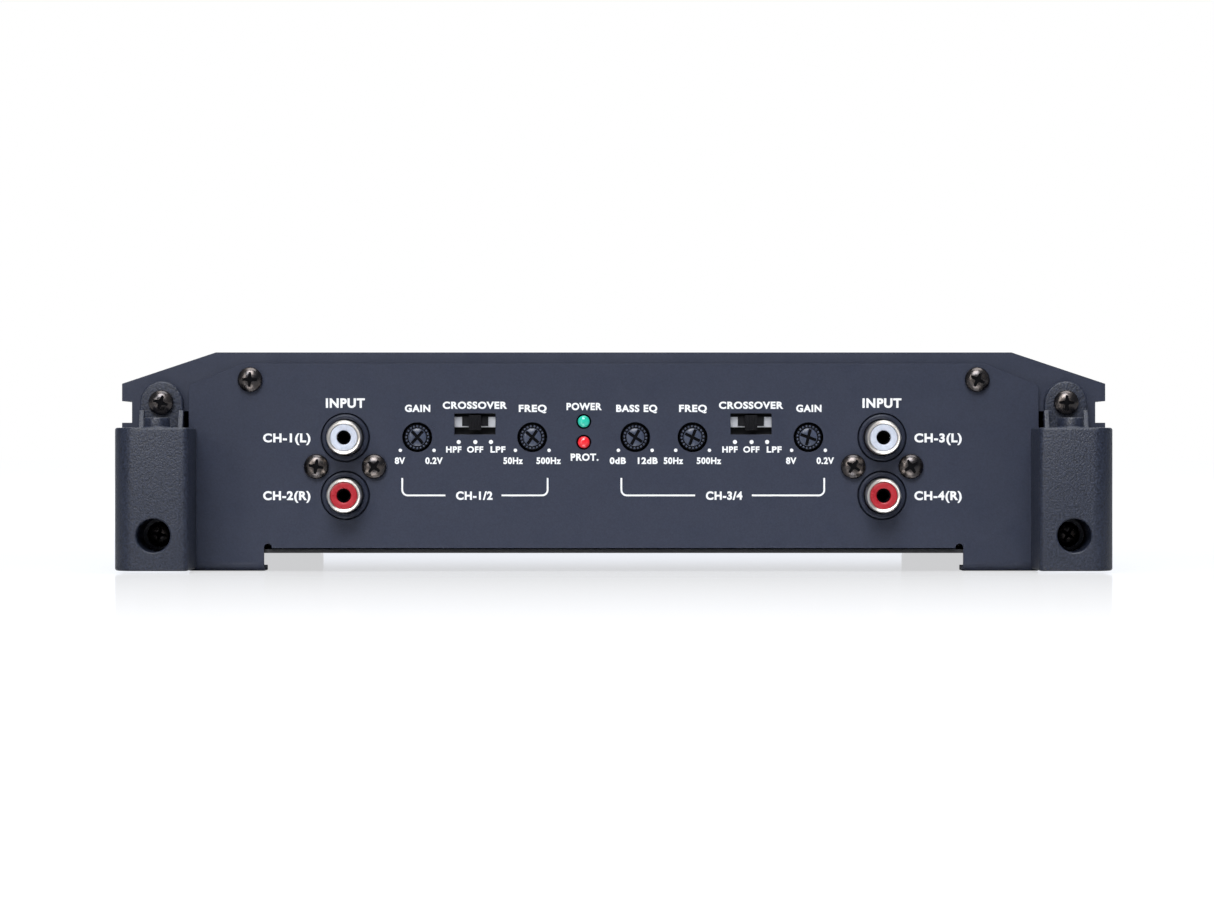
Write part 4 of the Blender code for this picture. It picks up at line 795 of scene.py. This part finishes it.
def foot_mesh():
    """The front right foot, with rounded rims, its ear, boss and holes."""
    low, high = box_of("foot_front_right")
    ear = centre("ear_screw_front_right")
    lower = centre("foot_screw_front_right")
    inner, outer, face, back = low.x, high.x, low.y, high.y
    front_left, front_right = FOOT_FLAT
    reach = 8.5
    corner = []
    for step in range(13):
        turn = pi / 2 * step / 12
        corner.append((front_right + (outer - front_right) * sin(turn) ** 0.92,
                       face + reach * (1 - cos(turn))))
    plan = [(inner, back), (inner, face + 1.4)]
    plan += [(front_left - 1.4 * cos(a), face + 1.4 * (1 - sin(a)))
             for a in (pi / 8, pi / 4, 3 * pi / 8, pi / 2)]
    plan += corner + [(outer, back)]
    shell = extruded([plan], "XY", low.z, FOOT_TOP, FOOT_EDGE)

    outline = arc((ear.x, ear.z), EAR_RADIUS, 0.0, pi, 32)
    outline += [(ear.x - EAR_RADIUS, FOOT_TOP - 2), (ear.x + EAR_RADIUS, FOOT_TOP - 2)]
    plate = extruded([outline], "XZ", back - EAR_PLATE, back, 0.45)
    mount_y = -PANEL_FACE - MOUNT_REACH
    rim = [(0.0, -2), (0.0, BOSS_RISE), (BOSS_RADIUS - 0.35, BOSS_RISE),
           (BOSS_RADIUS - 0.1, BOSS_RISE - 0.1), (BOSS_RADIUS, BOSS_RISE - 0.35),
           (BOSS_RADIUS + 0.1, 0.4), (BOSS_RADIUS + 0.5, 0.0),
           (BOSS_RADIUS + 0.5, -2)]
    boss = upright(turned(rim, FINE_ROUND), ear.x, mount_y, FOOT_TOP)
    gussets = []
    for side in (-1, 1):
        x = ear.x + side * (EAR_RADIUS - 0.45)
        profile = [(back - 1.0, FOOT_TOP - 2), (back - 1.0, FOOT_TOP + 4.3),
                   (back - 3.3, FOOT_TOP + 4.3), (back - 5.5, FOOT_TOP - 0.1),
                   (back - 5.5, FOOT_TOP - 2)]
        gussets.append(extruded([profile], "YZ", x - 0.6, x + 0.6, 0.15))
    solid = joined(shell, plate, boss, *gussets)

    wall = 2.4
    pocket = box((inner + 2.8 + wall, mount_y, low.z - 1.0),
                 (outer - wall, back - wall, FOOT_TOP - 3))
    post = extruded([circle((ear.x, mount_y), MOUNT_HOLE + 1.6)], "XY", low.z - 2, FOOT_TOP)
    tube = extruded([circle((ear.x, lower.z), DRIVER_HOLE + 1.6)], "XZ", face, back)
    through = extruded([circle((ear.x, mount_y), MOUNT_HOLE)], "XY", -5, 50)
    hole = [(DRIVER_HOLE + 0.5, 0.3), (DRIVER_HOLE + 0.35, 0.0),
            (DRIVER_HOLE + 0.08, -0.18), (DRIVER_HOLE, -0.45),
            (DRIVER_HOLE - 0.12, -18.0), (0.0, -18.0), (0.0, 0.3)]
    driver = placed(turned(hole, ROUND, closed=True), shift(ear.x, face, lower.z))
    bores = [extruded([circle((ear.x, z), SCREW_RADIUS + 0.2)], "XZ", face, back + 1.0)
             for z in (ear.z, lower.z)]
    step = box((inner - 1.0, -PANEL_FACE - FIT, -1.0), (102.9, back + 1.0, FOOT_TOP + 1.0))
    return cut(solid, cut(pocket, post, tube), through, driver, step, *bores)


def feet():
    """All four feet from the front right one."""
    mesh = foot_mesh()
    for corner in CORNERS:
        flip_x = -1 if "left" in corner else 1
        flip_y = -1 if "rear" in corner else 1
        copy = placed(mesh.copy(), Matrix.Diagonal((flip_x, flip_y, 1, 1)))
        piece(f"corner_foot_{corner}", copy, FOOT, replaces=[f"foot_{corner}"], angle=32)


# ---------------------------------------------------------------- printed legends
INK_FACE = PANEL_FACE + 0.012
CAP_HEIGHT = 0.73  # of the built-in face, at size 1
BOLD = 0.040  # how much the letter strokes are fattened, against their size


def lettering(text, cap, width, bold=BOLD):
    """Upright letters of a cap height and an overall width, centred on the XZ plane's origin."""
    curve = bpy.data.curves.new("text", "FONT")
    curve.body = text
    curve.size = 1.0
    curve.offset = bold
    curve.resolution_u = 6
    curve.space_character = 1.12
    mesh = from_curve(curve)
    xs = [v.co.x for v in mesh.vertices]
    tall = CAP_HEIGHT + 2 * bold
    scale = Matrix.Diagonal((width / (max(xs) - min(xs)), cap / tall, 1, 1))
    middle = shift(-(min(xs) + max(xs)) / 2, -CAP_HEIGHT / 2, 0)
    return placed(mesh, Matrix.Rotation(pi / 2, 4, "X") @ scale @ middle)


def stroke(points, width):
    """A flat line of a width along XZ points, with its corners mitred."""
    outline_left, outline_right = [], []
    count = len(points)
    for i, (x, z) in enumerate(points):
        before = points[max(i - 1, 0)]
        after = points[min(i + 1, count - 1)]
        along = Vector((after[0] - before[0], after[1] - before[1])).normalized()
        side = Vector((-along.y, along.x)) * width / 2
        outline_left.append((x + side.x, z + side.y))
        outline_right.append((x - side.x, z - side.y))
    work = bmesh.new()
    left = [work.verts.new((x, 0, z)) for x, z in outline_left]
    right = [work.verts.new((x, 0, z)) for x, z in outline_right]
    for i in range(count - 1):
        work.faces.new((left[i], right[i], right[i + 1], left[i + 1]))
    bmesh.ops.recalc_face_normals(work, faces=work.faces)
    return written(work)


def dot(x, z, radius):
    """A flat printed dot."""
    work = bmesh.new()
    work.faces.new([work.verts.new((px, 0, pz)) for px, pz in circle((x, z), radius, 20)])
    return written(work)


def rounded_corner(start, corner, end, radius=1.3):
    """A right-angled line from start to end by way of a rounded corner."""
    start, corner, end = Vector(start), Vector(corner), Vector(end)
    back = (start - corner).normalized()
    ahead = (end - corner).normalized()
    middle = corner + (back + ahead) * radius
    points = [tuple(start)]
    for i in range(7):
        angle = pi / 2 * i / 6
        points.append(tuple(middle - ahead * radius * cos(angle) - back * radius * sin(angle)))
    return points + [tuple(end)]


def printed(name, entries, flat, facing):
    """One print layer: entries hold text, X, Z, cap height and width; flat holds other shapes."""
    parts = []
    for text, x, z, cap, width in entries:
        mesh = lettering(text, cap, width)
        if facing > 0:
            mesh = placed(mesh, Matrix.Rotation(pi, 4, "Z"))
        parts.append(placed(mesh, shift(x, 0, z)))
    lift = shift(0, facing * INK_FACE, 0)
    piece(name, together([placed(mesh, lift) for mesh in parts + flat]), INK)


def front_legends():
    """White print of the control panel, placed from the controls that it names."""
    words, shapes = [], []
    knob_z = centre("gain_12_knob").z
    title_z, dot_z, scale_z = knob_z + 7.0, knob_z - 3.15, knob_z - 5.6
    for name in KNOBS:
        x = centre(f"{name}_knob").x
        kind = name.split("_")[0]
        title, width = {"gain": ("GAIN", 6.1), "freq": ("FREQ", 6.7), "bass": ("BASS EQ", 9.9)}[kind]
        aside = 0.35 if kind == "bass" else 0.1
        words.append((title, x + aside, title_z, 1.85, width))
        scale = {
            "gain": (("8V", -4.15, 2.5), ("0.2V", 4.05, 4.2)),
            "freq": (("50Hz", -4.6, 4.7), ("500Hz", 3.95, 5.9)),
            "bass": (("0dB", -4.2, 3.9), ("12dB", 3.0, 4.8)),
        }[kind]
        for text, step, wide in scale:
            words.append((text, x + step, scale_z, 1.7, wide))
        for side in (-1, 1):
            shapes.append(dot(x + side * 4.06, dot_z, 0.42))
    for name in SWITCHES:
        at = centre(f"{name}_switch")
        words.append(("CROSSOVER", at.x, at.z + 4.55, 1.85, 15.5))
        for text, step, wide in (("HPF", -5.1, 3.7), ("OFF", 0.05, 3.9), ("LPF", 5.55, 3.6)):
            words.append((text, at.x + step, at.z - 6.1, 1.6, wide))
        for step in (-3.9, 0.1, 3.85):
            shapes.append(dot(at.x + step, at.z - 4.35, 0.5))
    power, protect = centre("power_led"), centre("protect_led")
    words.append(("POWER", power.x + 0.1, power.z + 3.65, 1.85, 8.5))
    words.append(("PROT.", protect.x + 0.2, protect.z - 3.55, 1.85, 6.7))
    for side, first in (("left", 1), ("right", 3)):
        x = centre(f"rca_block_{side}").x
        words.append(("INPUT", x, centre(f"rca_shell_{first}").z + 8.4, 2.45, 9.4))
        aside = x - 14.1 if side == "left" else x + 13.5
        for offset, letter in enumerate("LR"):
            channel = first + offset
            z = centre(f"rca_shell_{channel}").z
            words.append((f"CH-{channel}({letter})", aside, z, 2.3, 11.4))
    low_z, high_z = 18.2, 22.4
    for x_from, x_to, gap, text, middle in (
        (-50.9, -15.9, (-40.5, -27.0), "CH-1/2", -33.55),
        (1.85, 50.7, (19.6, 33.25), "CH-3/4", 26.6),
    ):
        left = rounded_corner((x_from, high_z), (x_from, low_z), (gap[0], low_z))
        right = rounded_corner((gap[1], low_z), (x_to, low_z), (x_to, high_z))
        shapes += [stroke(left, 0.42), stroke(right, 0.42)]
        words.append((text, middle, low_z, 2.15, 8.8))
    printed("control_legends", words, shapes, -1)


SPEAKER_PITCH = 9.2
POWER_PITCH = 12.0


def rear_legends():
    """Plain print over the rear connections."""
    words = []
    low, high = box_of("power_terminal_block")
    above = high.z + 3.0
    middle = (low.x + high.x) / 2
    for way, (text, wide) in enumerate((("+12V", 5.6), ("REM", 4.8), ("GND", 5.0))):
        words.append((text, middle + (1 - way) * POWER_PITCH, above, 1.9, wide))
    words.append(("POWER", middle, above + 3.9, 2.3, 10.0))
    words.append(("FUSE", centre("fuse_holder").x, above, 1.9, 6.6))
    low, high = box_of("speaker_terminal_block")
    middle, pitch = (low.x + high.x) / 2, SPEAKER_PITCH
    for way in range(8):
        words.append(("+-"[way % 2], middle + (3.5 - way) * pitch, above, 1.7, 1.5))
    for pair in range(4):
        words.append((f"CH-{pair + 1}", middle + (3 - 2 * pair) * pitch, above + 3.4, 1.9, 6.2))
    words.append(("SPEAKER", middle, above + 7.4, 2.3, 12.5))
    printed("connection_legends", words, [], 1)


# ---------------------------------------------------------------- rear connections
TERMINAL_EDGE = 0.25
SET_SCREW_REACH = 4.5  # out from the panel's face
BLADE_REACH = 4.6  # of each fuse blade from the middle


def terminal_screw(radius, height):
    """A cheese-head clamp screw standing on the origin, with a cross slot in its top."""
    profile = [(0.0, height), (radius - 0.25, height), (radius, height - 0.25),
               (radius, 0.0), (radius * 0.55, 0.0), (radius * 0.55, -2.5), (0.0, -2.5)]
    bars = crossed(radius * 0.72, 0.28, (-height - 1.0, -height + 0.8))
    return cut(turned(profile, FINE_ROUND), *bars)


def power_terminals():
    """The supply block, with a clamp box and a sunk screw for each of its three ways."""
    node = "power_terminal_block"
    low, high = box_of(node)
    middle_x, middle_z, face = (low.x + high.x) / 2, (low.z + high.z) / 2, high.y
    cutters, clamps, set_screws = [], [], []
    for way in (-1, 0, 1):
        x = middle_x + way * POWER_PITCH
        cutters.append(block(x, 4.5, (face - 13, face + 1.0), middle_z, 4.25))
        well = circle((x, PANEL_FACE + SET_SCREW_REACH), 3.0)
        cutters.append(extruded([well], "XY", middle_z, high.z + 1.0))
        outer = block(x, 4.2, (face - 12.6, face - 1.6), middle_z, 3.95)
        inner = block(x, 3.4, (face - 11.6, face), middle_z, 3.15)
        clamps.append(cut(outer, inner))
        head = terminal_screw(2.5, 2.0)
        set_screws.append(upright(head, x, PANEL_FACE + SET_SCREW_REACH, middle_z + 4.4))
    piece("supply_block", cut(box(low, high), *cutters), BLACK, replaces=[node], bevel=TERMINAL_EDGE)
    piece("supply_clamps", together(clamps), NICKEL, bevel=0.15)
    piece("supply_set_screws", together(set_screws), NICKEL)


def speaker_terminals():
    """The speaker block, with a clamp plate and a screw in each of its eight ways."""
    node = "speaker_terminal_block"
    low, high = box_of(node)
    middle_x, face = (low.x + high.x) / 2, high.y
    shelf = low.z + 4.0
    cutters, plates, heads = [], [], []
    for way in range(8):
        x = middle_x + (way - 3.5) * SPEAKER_PITCH
        cutters.append(box((x - 3.7, face - 7.5, shelf), (x + 3.7, face + 1.0, high.z + 1.0)))
        plates.append(box((x - 3.3, face - 7.2, shelf), (x + 3.3, face - 0.5, shelf + 0.8)))
        plates.append(box((x - 2.9, face - 6.7, shelf + 1.2), (x + 2.9, face - 1.0, shelf + 1.9)))
        heads.append(upright(terminal_screw(2.4, 1.8), x, face - 3.9, shelf + 1.95))
    piece("speaker_block", cut(box(low, high), *cutters), BLACK, replaces=[node], bevel=TERMINAL_EDGE)
    piece("speaker_plates", together(plates), NICKEL, bevel=0.12)
    piece("speaker_screws", together(heads), NICKEL)


PIT_TURN = Matrix.Rotation(pi, 4, "X")  # of the test pits at the fuse's outer end


def blade_fuse():
    """A holder with a rounded rim, and the blade fuse: clear body, strip and two blades."""
    low, high = box_of("fuse_holder")
    f_low, f_high = box_of("blade_fuse")
    middle_x, middle_z = (low.x + high.x) / 2, (low.z + high.z) / 2
    seat = high.y - 4.4
    well = block(middle_x, 9.95, (seat, high.y + 1.0), middle_z, 2.95)
    slots = [block(middle_x + side * BLADE_REACH, 3.0, (seat - 7.4, seat + 1.0), middle_z, 0.8)
             for side in (-1, 1)]
    piece("fuse_socket", cut(box(low, high), well, *slots), BLACK, replaces=["fuse_holder"],
          bevel=TERMINAL_EDGE)
    base = f_high.y - 12
    thick, thin = (f_high.z - f_low.z) / 2, (f_high.z - f_low.z) * 0.35
    body = box((f_low.x, base, middle_z - thick), (f_high.x, f_high.y - 3.5, middle_z + thick))
    grip = box((f_low.x, f_high.y - 4, middle_z - thin), (f_high.x, f_high.y, middle_z + thin))
    windows = [block(middle_x, 5.5, (base + 1.2, f_high.y - 5.0), middle_z + face, 1.25)
               for face in (-thick + 0.25, thick - 0.25)]
    ends = []
    for side in (-1, 1):
        pit = turned([(0.0, 0.0), (1.0, 0.0), (1.0, -2), (0.0, -2)], 24)
        spot = shift(middle_x + side * 6.5, f_high.y + 0.2, middle_z)
        ends.append(placed(pit, spot @ PIT_TURN))
    piece("fuse_body", cut(joined(body, grip), *windows, *ends), FUSE, "fuse",
          replaces=["blade_fuse"], bevel=0.2)
    metal = [block(middle_x + side * BLADE_REACH, 2.6, (f_low.y, base), middle_z, 0.4)
             for side in (-1, 1)]
    piece("fuse_blades", together(metal), NICKEL, "fuse", bevel=0.1)


# ---------------------------------------------------------------- inside
def main_board():
    """Small parts in rows on the main board, under the cover of the heatsink."""
    refinish("circuit_board", BOARD)
    refinish("control_board", BOARD)
    top = box_of("circuit_board")[1].z
    chips, leads, pads, cans = [], [], [], []
    for row in range(5):
        for step in range(7):
            x, y = -70 + step * 13, -96 + row * 15
            if step % 3 == 0:
                chips.append(box((x - 2, y - 3, top), (x + 2, y + 3, top + 1.6)))
                for pin in range(-2, 3):
                    for side in (-1, 1):
                        px = x + side * 2.5
                        leads.append(box((px - 0.5, y + pin * 1.2 - 0.2, top),
                                         (px + 0.5, y + pin * 1.2 + 0.2, top + 0.5)))
            elif step % 3 == 1:
                can = [(0.0, 7), (2.6, 7), (2.9, 6.7), (2.9, 0.0), (0.0, 0.0)]
                cans.append(upright(turned(can, 24), x, y, top))
            else:
                chips.append(box((x - 1.6, y - 0.8, top), (x + 1.6, y + 0.8, top + 0.6)))
    edge = box_of("circuit_board")[1].x - 1.4
    for side in (-1, 1):
        for step in range(9):
            x, y = side * edge, -72 + step * 18
            pads.append(box((x - 0.9, y - 3, top), (x + 0.9, y + 3, top + 0.08)))
    piece("small_chips", together(chips), GLOSS_BLACK, bevel=0.12)
    piece("chip_leads", together(leads), NICKEL)
    piece("solder_pads", together(pads), NICKEL)
    piece("small_capacitors", together(cans), SLEEVE)


def transistors():
    """The row of power transistors pressed to each inner wall by its clamp bar."""
    for side, name in ((-1, "left"), (1, "right")):
        low, high = box_of(f"transistor_clamp_{name}")
        wall = high.x if side > 0 else low.x
        bodies, legs, heads = [], [], []
        for step in range(6):
            y = -62.5 + step * 25
            near, far = sorted((wall + side * 0.3, wall + side * 4.5))
            bodies.append(box((near, y - 7.5, low.z - 2), (far, y + 7.5, low.z + 14)))
            for leg in (-5.4, 0, 5.4):
                x = wall + side * 2.6
                legs.append(box((x - 0.3, y + leg - 0.5, ON_BOARD), (x + 0.3, y + leg + 0.5, low.z - 2)))
            if step < 5:
                head = turned([(0.0, 1.6), (2.2, 1.4), (2.6, 0.0), (0.0, 0.0)], 24)
                face = low.x if side > 0 else high.x
                place = shift(face, y + 12.5, (low.z + high.z) / 2 - 1.5)
                heads.append(placed(head, place @ Matrix.Rotation(-side * pi / 2, 4, "Z")))
        piece(f"transistors_{name}", together(bodies), GLOSS_BLACK, bevel=0.2)
        piece(f"transistor_legs_{name}", together(legs), NICKEL)
        piece(f"clamp_screws_{name}", together(heads), SCREW)
        refinish(f"transistor_clamp_{name}", ALUMINIUM)


def wound_toroid():
    """The supply transformer: a ferrite ring closely wound with enamelled wire."""
    low, high = box_of("power_transformer")
    at = centre("power_transformer")
    outer, half = (high.x - low.x) / 2, (high.z - low.z) / 2
    inner = 7.5
    wire = 0.55
    curve = bpy.data.curves.new("winding", "CURVE")
    curve.dimensions = "3D"
    curve.bevel_depth = wire
    curve.bevel_resolution = 2
    turns, steps = 58, 16
    spline = curve.splines.new("POLY")
    spline.points.add(turns * steps - 1)
    middle = (outer + inner) / 2
    bulge = (outer - inner) / 2 - wire * 1.05
    for i, point in enumerate(spline.points):
        around = 2 * pi * i / (turns * steps)
        about = 2 * pi * (i % steps) / steps
        across = abs(cos(about)) ** 0.6 * (1 if cos(about) > 0 else -1)
        along = abs(sin(about)) ** 0.6 * (1 if sin(about) > 0 else -1)
        radius = middle + bulge * across
        point.co = (radius * cos(around), radius * sin(around), (half - wire * 1.05) * along, 1.0)
    spline.use_cyclic_u = True
    piece("toroid_winding", placed(from_curve(curve), Matrix.Translation(at)), COPPER,
          replaces=["power_transformer"], angle=60)
    core = [(outer - 2.0, -half + 2), (outer - 2.0, half - 2),
            (inner + 2.0, half - 2), (inner + 2.0, -half + 2)]
    piece("toroid_core", upright(turned(core, 40, closed=True), *at), BLACK_AND_PAINTED_SHADE)


def storage_capacitor():
    """The storage capacitor's sleeved can, with a scored metal top."""
    low, high = box_of("storage_capacitor")
    at = centre("storage_capacitor")
    radius, height = (high.x - low.x) / 2, high.z - low.z
    rim = 1.6
    can = [(0.0, height - 0.3), (radius - rim, height - 0.3), (radius - rim, height),
           (radius - 0.6, height), (radius, height - 0.6), (radius, 5.5),
           (radius - 0.7, 4.6), (radius, 3.6), (radius, 0.0), (0.0, 0.0)]
    piece("capacitor_can", upright(turned(can, ROUND), at.x, at.y, low.z), SLEEVE,
          replaces=["storage_capacitor"])
    top = [(0.0, 0.28), (radius - rim - 0.1, 0.28), (radius - rim - 0.1, 0.0), (0.0, 0.0)]
    disc = upright(turned(top, ROUND), at.x, at.y, high.z - 0.3)
    scores = [box((at.x - half_x, at.y - half_y, high.z - 0.12),
                  (at.x + half_x, at.y + half_y, high.z + 1.0))
              for half_x, half_y in ((radius, 0.2), (0.2, radius))]
    piece("capacitor_top", cut(disc, *scores), ALUMINIUM)


def stand_offs():
    """Four threaded pillars between the main board and the bottom cover, each with a screw."""
    low, high = box_of("circuit_board")
    pillars, heads = [], []
    for x in (low.x + 8, high.x - 8):
        for y in (low.y + 24, high.y - 24):
            pillars.append(extruded([circle((x, y), 2.6, 6)], "XY", COVER_HIGH.z + 0.05, low.z))
            dome = [(0.0, 1.9), (1.6, 1.7), (2.6, 0.8), (2.7, 0.0), (0.0, 0.0)]
            heads.append(upright(turned(dome, 32), x, y, high.z))
    piece("stand_offs", together(pillars), NICKEL, bevel=0.15)
    piece("board_screws", together(heads), NICKEL)


# ---------------------------------------------------------------- underside
def cover_screws():
    """Six countersunk screws that hold the bottom cover, flush with its face."""
    heads = []
    for side in (-1, 1):
        for y in (-100, 0.0, 100):
            head = turned([(0.0, 0.1), (2.6, 0.1), (2.9, -0.05), (2.9, -0.3), (0.0, -0.3)], 32)
            bars = crossed(1.7, 0.3, (-0.4, 0.12))
            spin = Matrix.Rotation(radians(17 * (y > 0) + 31 * side), 4, "Y")
            turn = Matrix.Rotation(pi / 2, 4, "X") @ spin
            x = side * (COVER_HIGH.x - 5)
            heads.append(placed(cut(head, *bars), shift(x, y, COVER_LOW.z) @ turn))
    piece("cover_screws", together(heads), SCREW)


# ---------------------------------------------------------------- assembly
def assemble():
    """Every piece, in the order that it would be put together."""
    rounded(refinish("heatsink", EXTRUSION), 0.22, 40)
    refinish("bottom_cover", STEEL)
    front_panel()
    rear_panel()
    feet()
    screws()
    jack_blocks()
    jacks()
    trimmers()
    switches()
    lights_on_panel()
    front_legends()
    power_terminals()
    speaker_terminals()
    blade_fuse()
    rear_legends()
    main_board()
    transistors()
    wound_toroid()
    storage_capacitor()
    stand_offs()
    cover_screws()


assemble()


# ---------------------------------------------------------------- stage, camera and light
AIM = Vector((0, 0, 0.03))  # metres, as is everything else in this section


def area_light(name, place, size, energy, colour, size_y=None):
    """A soft lamp at a place, turned towards the casing."""
    data = bpy.data.lights.new(name, "AREA")
    data.shape = "RECTANGLE"
    data.size = size
    data.size_y = size_y or size
    data.energy = energy
    data.color = colour
    lamp = bpy.data.objects.new(name, data)
    lamp.location = place
    lamp.rotation_euler = (AIM - Vector(place)).to_track_quat("-Z", "Y").to_euler()
    lamp.visible_camera = False
    bpy.context.scene.collection.objects.link(lamp)


FLOOR_REACH = 30.0
FLOOR_DROP = -0.0001
FADE_SCALE = 1.6  # one over the fade's radius
FADE_SPAN = 0.78  # the share of the fade that lies past the casing
FLOOR_SHADED_GLOW = 0.62  # the table's glow under the casing, dimmed there as painted shade; it is 1 far off
FLOOR_SHEEN = 0.34  # its mirroring there; it is 0 far off


def stage_floor():
    """A pale, faintly mirroring table top, wide enough for any view; its glow dims near the casing as
    painted shade.
    """
    mesh = bpy.data.meshes.new("table")
    square = rectangle(-FLOOR_REACH, FLOOR_REACH, -FLOOR_REACH, FLOOR_REACH)
    mesh.from_pydata([(x, y, FLOOR_DROP) for x, y in square], [], [(0, 1, 2, 3)])
    material = bpy.data.materials.new("table")
    material.use_nodes = True
    tree = material.node_tree
    tree.nodes.clear()
    place = add(tree, "TexCoord").outputs["Object"]
    wide = add(tree, "Mapping", {"Vector": place, "Scale": (FADE_SCALE,) * 3})
    fade = add(tree, "TexGradient", {"Vector": wide}, gradient_type="SPHERICAL").outputs["Fac"]
    seen = add(tree, "LightPath").outputs["Is Camera Ray"]
    span = {"Value": fade, "From Max": FADE_SPAN}
    # The glow is dimmed towards the casing: painted shade on the table under and round it.
    shaded_glow = add(tree, "MapRange", {**span, "To Min": 1.0, "To Max": FLOOR_SHADED_GLOW})
    shown = add(tree, "Math", {0: shaded_glow, 1: seen}, operation="MULTIPLY")
    glow = add(tree, "Emission", {"Color": (0.98, 0.985, 1.0, 1.0), "Strength": shown})
    bounce = add(tree, "MapRange", {"Value": seen, "To Min": 0.35, "To Max": 0.10})
    diffuse = add(tree, "BsdfDiffuse", {"Color": bounce})
    sheen = add(tree, "MapRange", {**span, "To Min": 0.0, "To Max": FLOOR_SHEEN})
    mirror = add(tree, "BsdfGlossy", {"Color": sheen, "Roughness": 0.08})
    lit = add(tree, "AddShader", {0: diffuse, 1: glow})
    add(tree, "OutputMaterial", {"Surface": add(tree, "AddShader", {0: lit, 1: mirror})})
    mesh.materials.append(material)
    floor = bpy.data.objects.new("table", mesh)
    bpy.context.scene.collection.objects.link(floor)


def surroundings():
    """White to the camera and dim to the rest, but for a bright low band that the table mirrors."""
    world = bpy.data.worlds.new("surroundings")
    bpy.context.scene.world = world
    world.use_nodes = True
    tree = world.node_tree
    tree.nodes.clear()
    path = add(tree, "LightPath")
    way = add(tree, "SeparateXYZ", {"Vector": add(tree, "TexCoord").outputs["Generated"]})
    behind = add(tree, "MapRange", {"Value": way.outputs["Y"], "From Min": 0.80, "From Max": 0.92})
    height = add(tree, "Math", {0: way.outputs["Z"]}, operation="ABSOLUTE")
    low = add(tree, "MapRange", {"Value": height, "From Min": 0.35, "From Max": 0.20})
    band = add(tree, "Math", {0: behind, 1: low}, operation="MULTIPLY")
    glossy = add(tree, "Math", {0: band, 1: path.outputs["Is Glossy Ray"]}, operation="MULTIPLY")
    strength = add(tree, "MapRange", {"Value": glossy, "To Min": 0.16, "To Max": 1.0})
    dim = add(tree, "Background", {"Color": (0.80, 0.86, 1.0, 1.0), "Strength": strength})
    white = add(tree, "Background", {"Color": (1.0, 1.0, 1.0, 1.0)})
    mix = add(tree, "MixShader", {"Fac": path.outputs["Is Camera Ray"], 1: dim, 2: white})
    add(tree, "OutputWorld", {"Surface": mix})


def camera():
    """A level long-lens view of the control panel."""
    data = bpy.data.cameras.new("camera")
    data.lens = 147.8
    data.sensor_width = 36.0
    data.clip_end = 100.0
    made = bpy.data.objects.new("camera", data)
    made.location = (-0.0016, -PANEL_FACE * MM - 1.2, 0.0278)
    made.rotation_euler = (pi / 2, 0.0, 0.0)
    bpy.context.scene.collection.objects.link(made)
    bpy.context.scene.camera = made


stage_floor()
surroundings()
camera()
area_light("key", (-0.3, -3.2, 2.5), 1.8, 120.0, (0.97, 0.98, 1.0))
area_light("top", (0.2, -0.4, 3.0), 2.4, 60.0, (0.96, 0.98, 1.0))
area_light("strip", (-1.6, -3.0, 0.9), 0.5, 14.0, (1.0, 0.97, 0.93), 1.2)
area_light("back", (0.0, 3.6, 2.4), 2.2, 45.0, (0.95, 0.97, 1.0))

bpy.context.scene.view_settings.view_transform = "Standard"
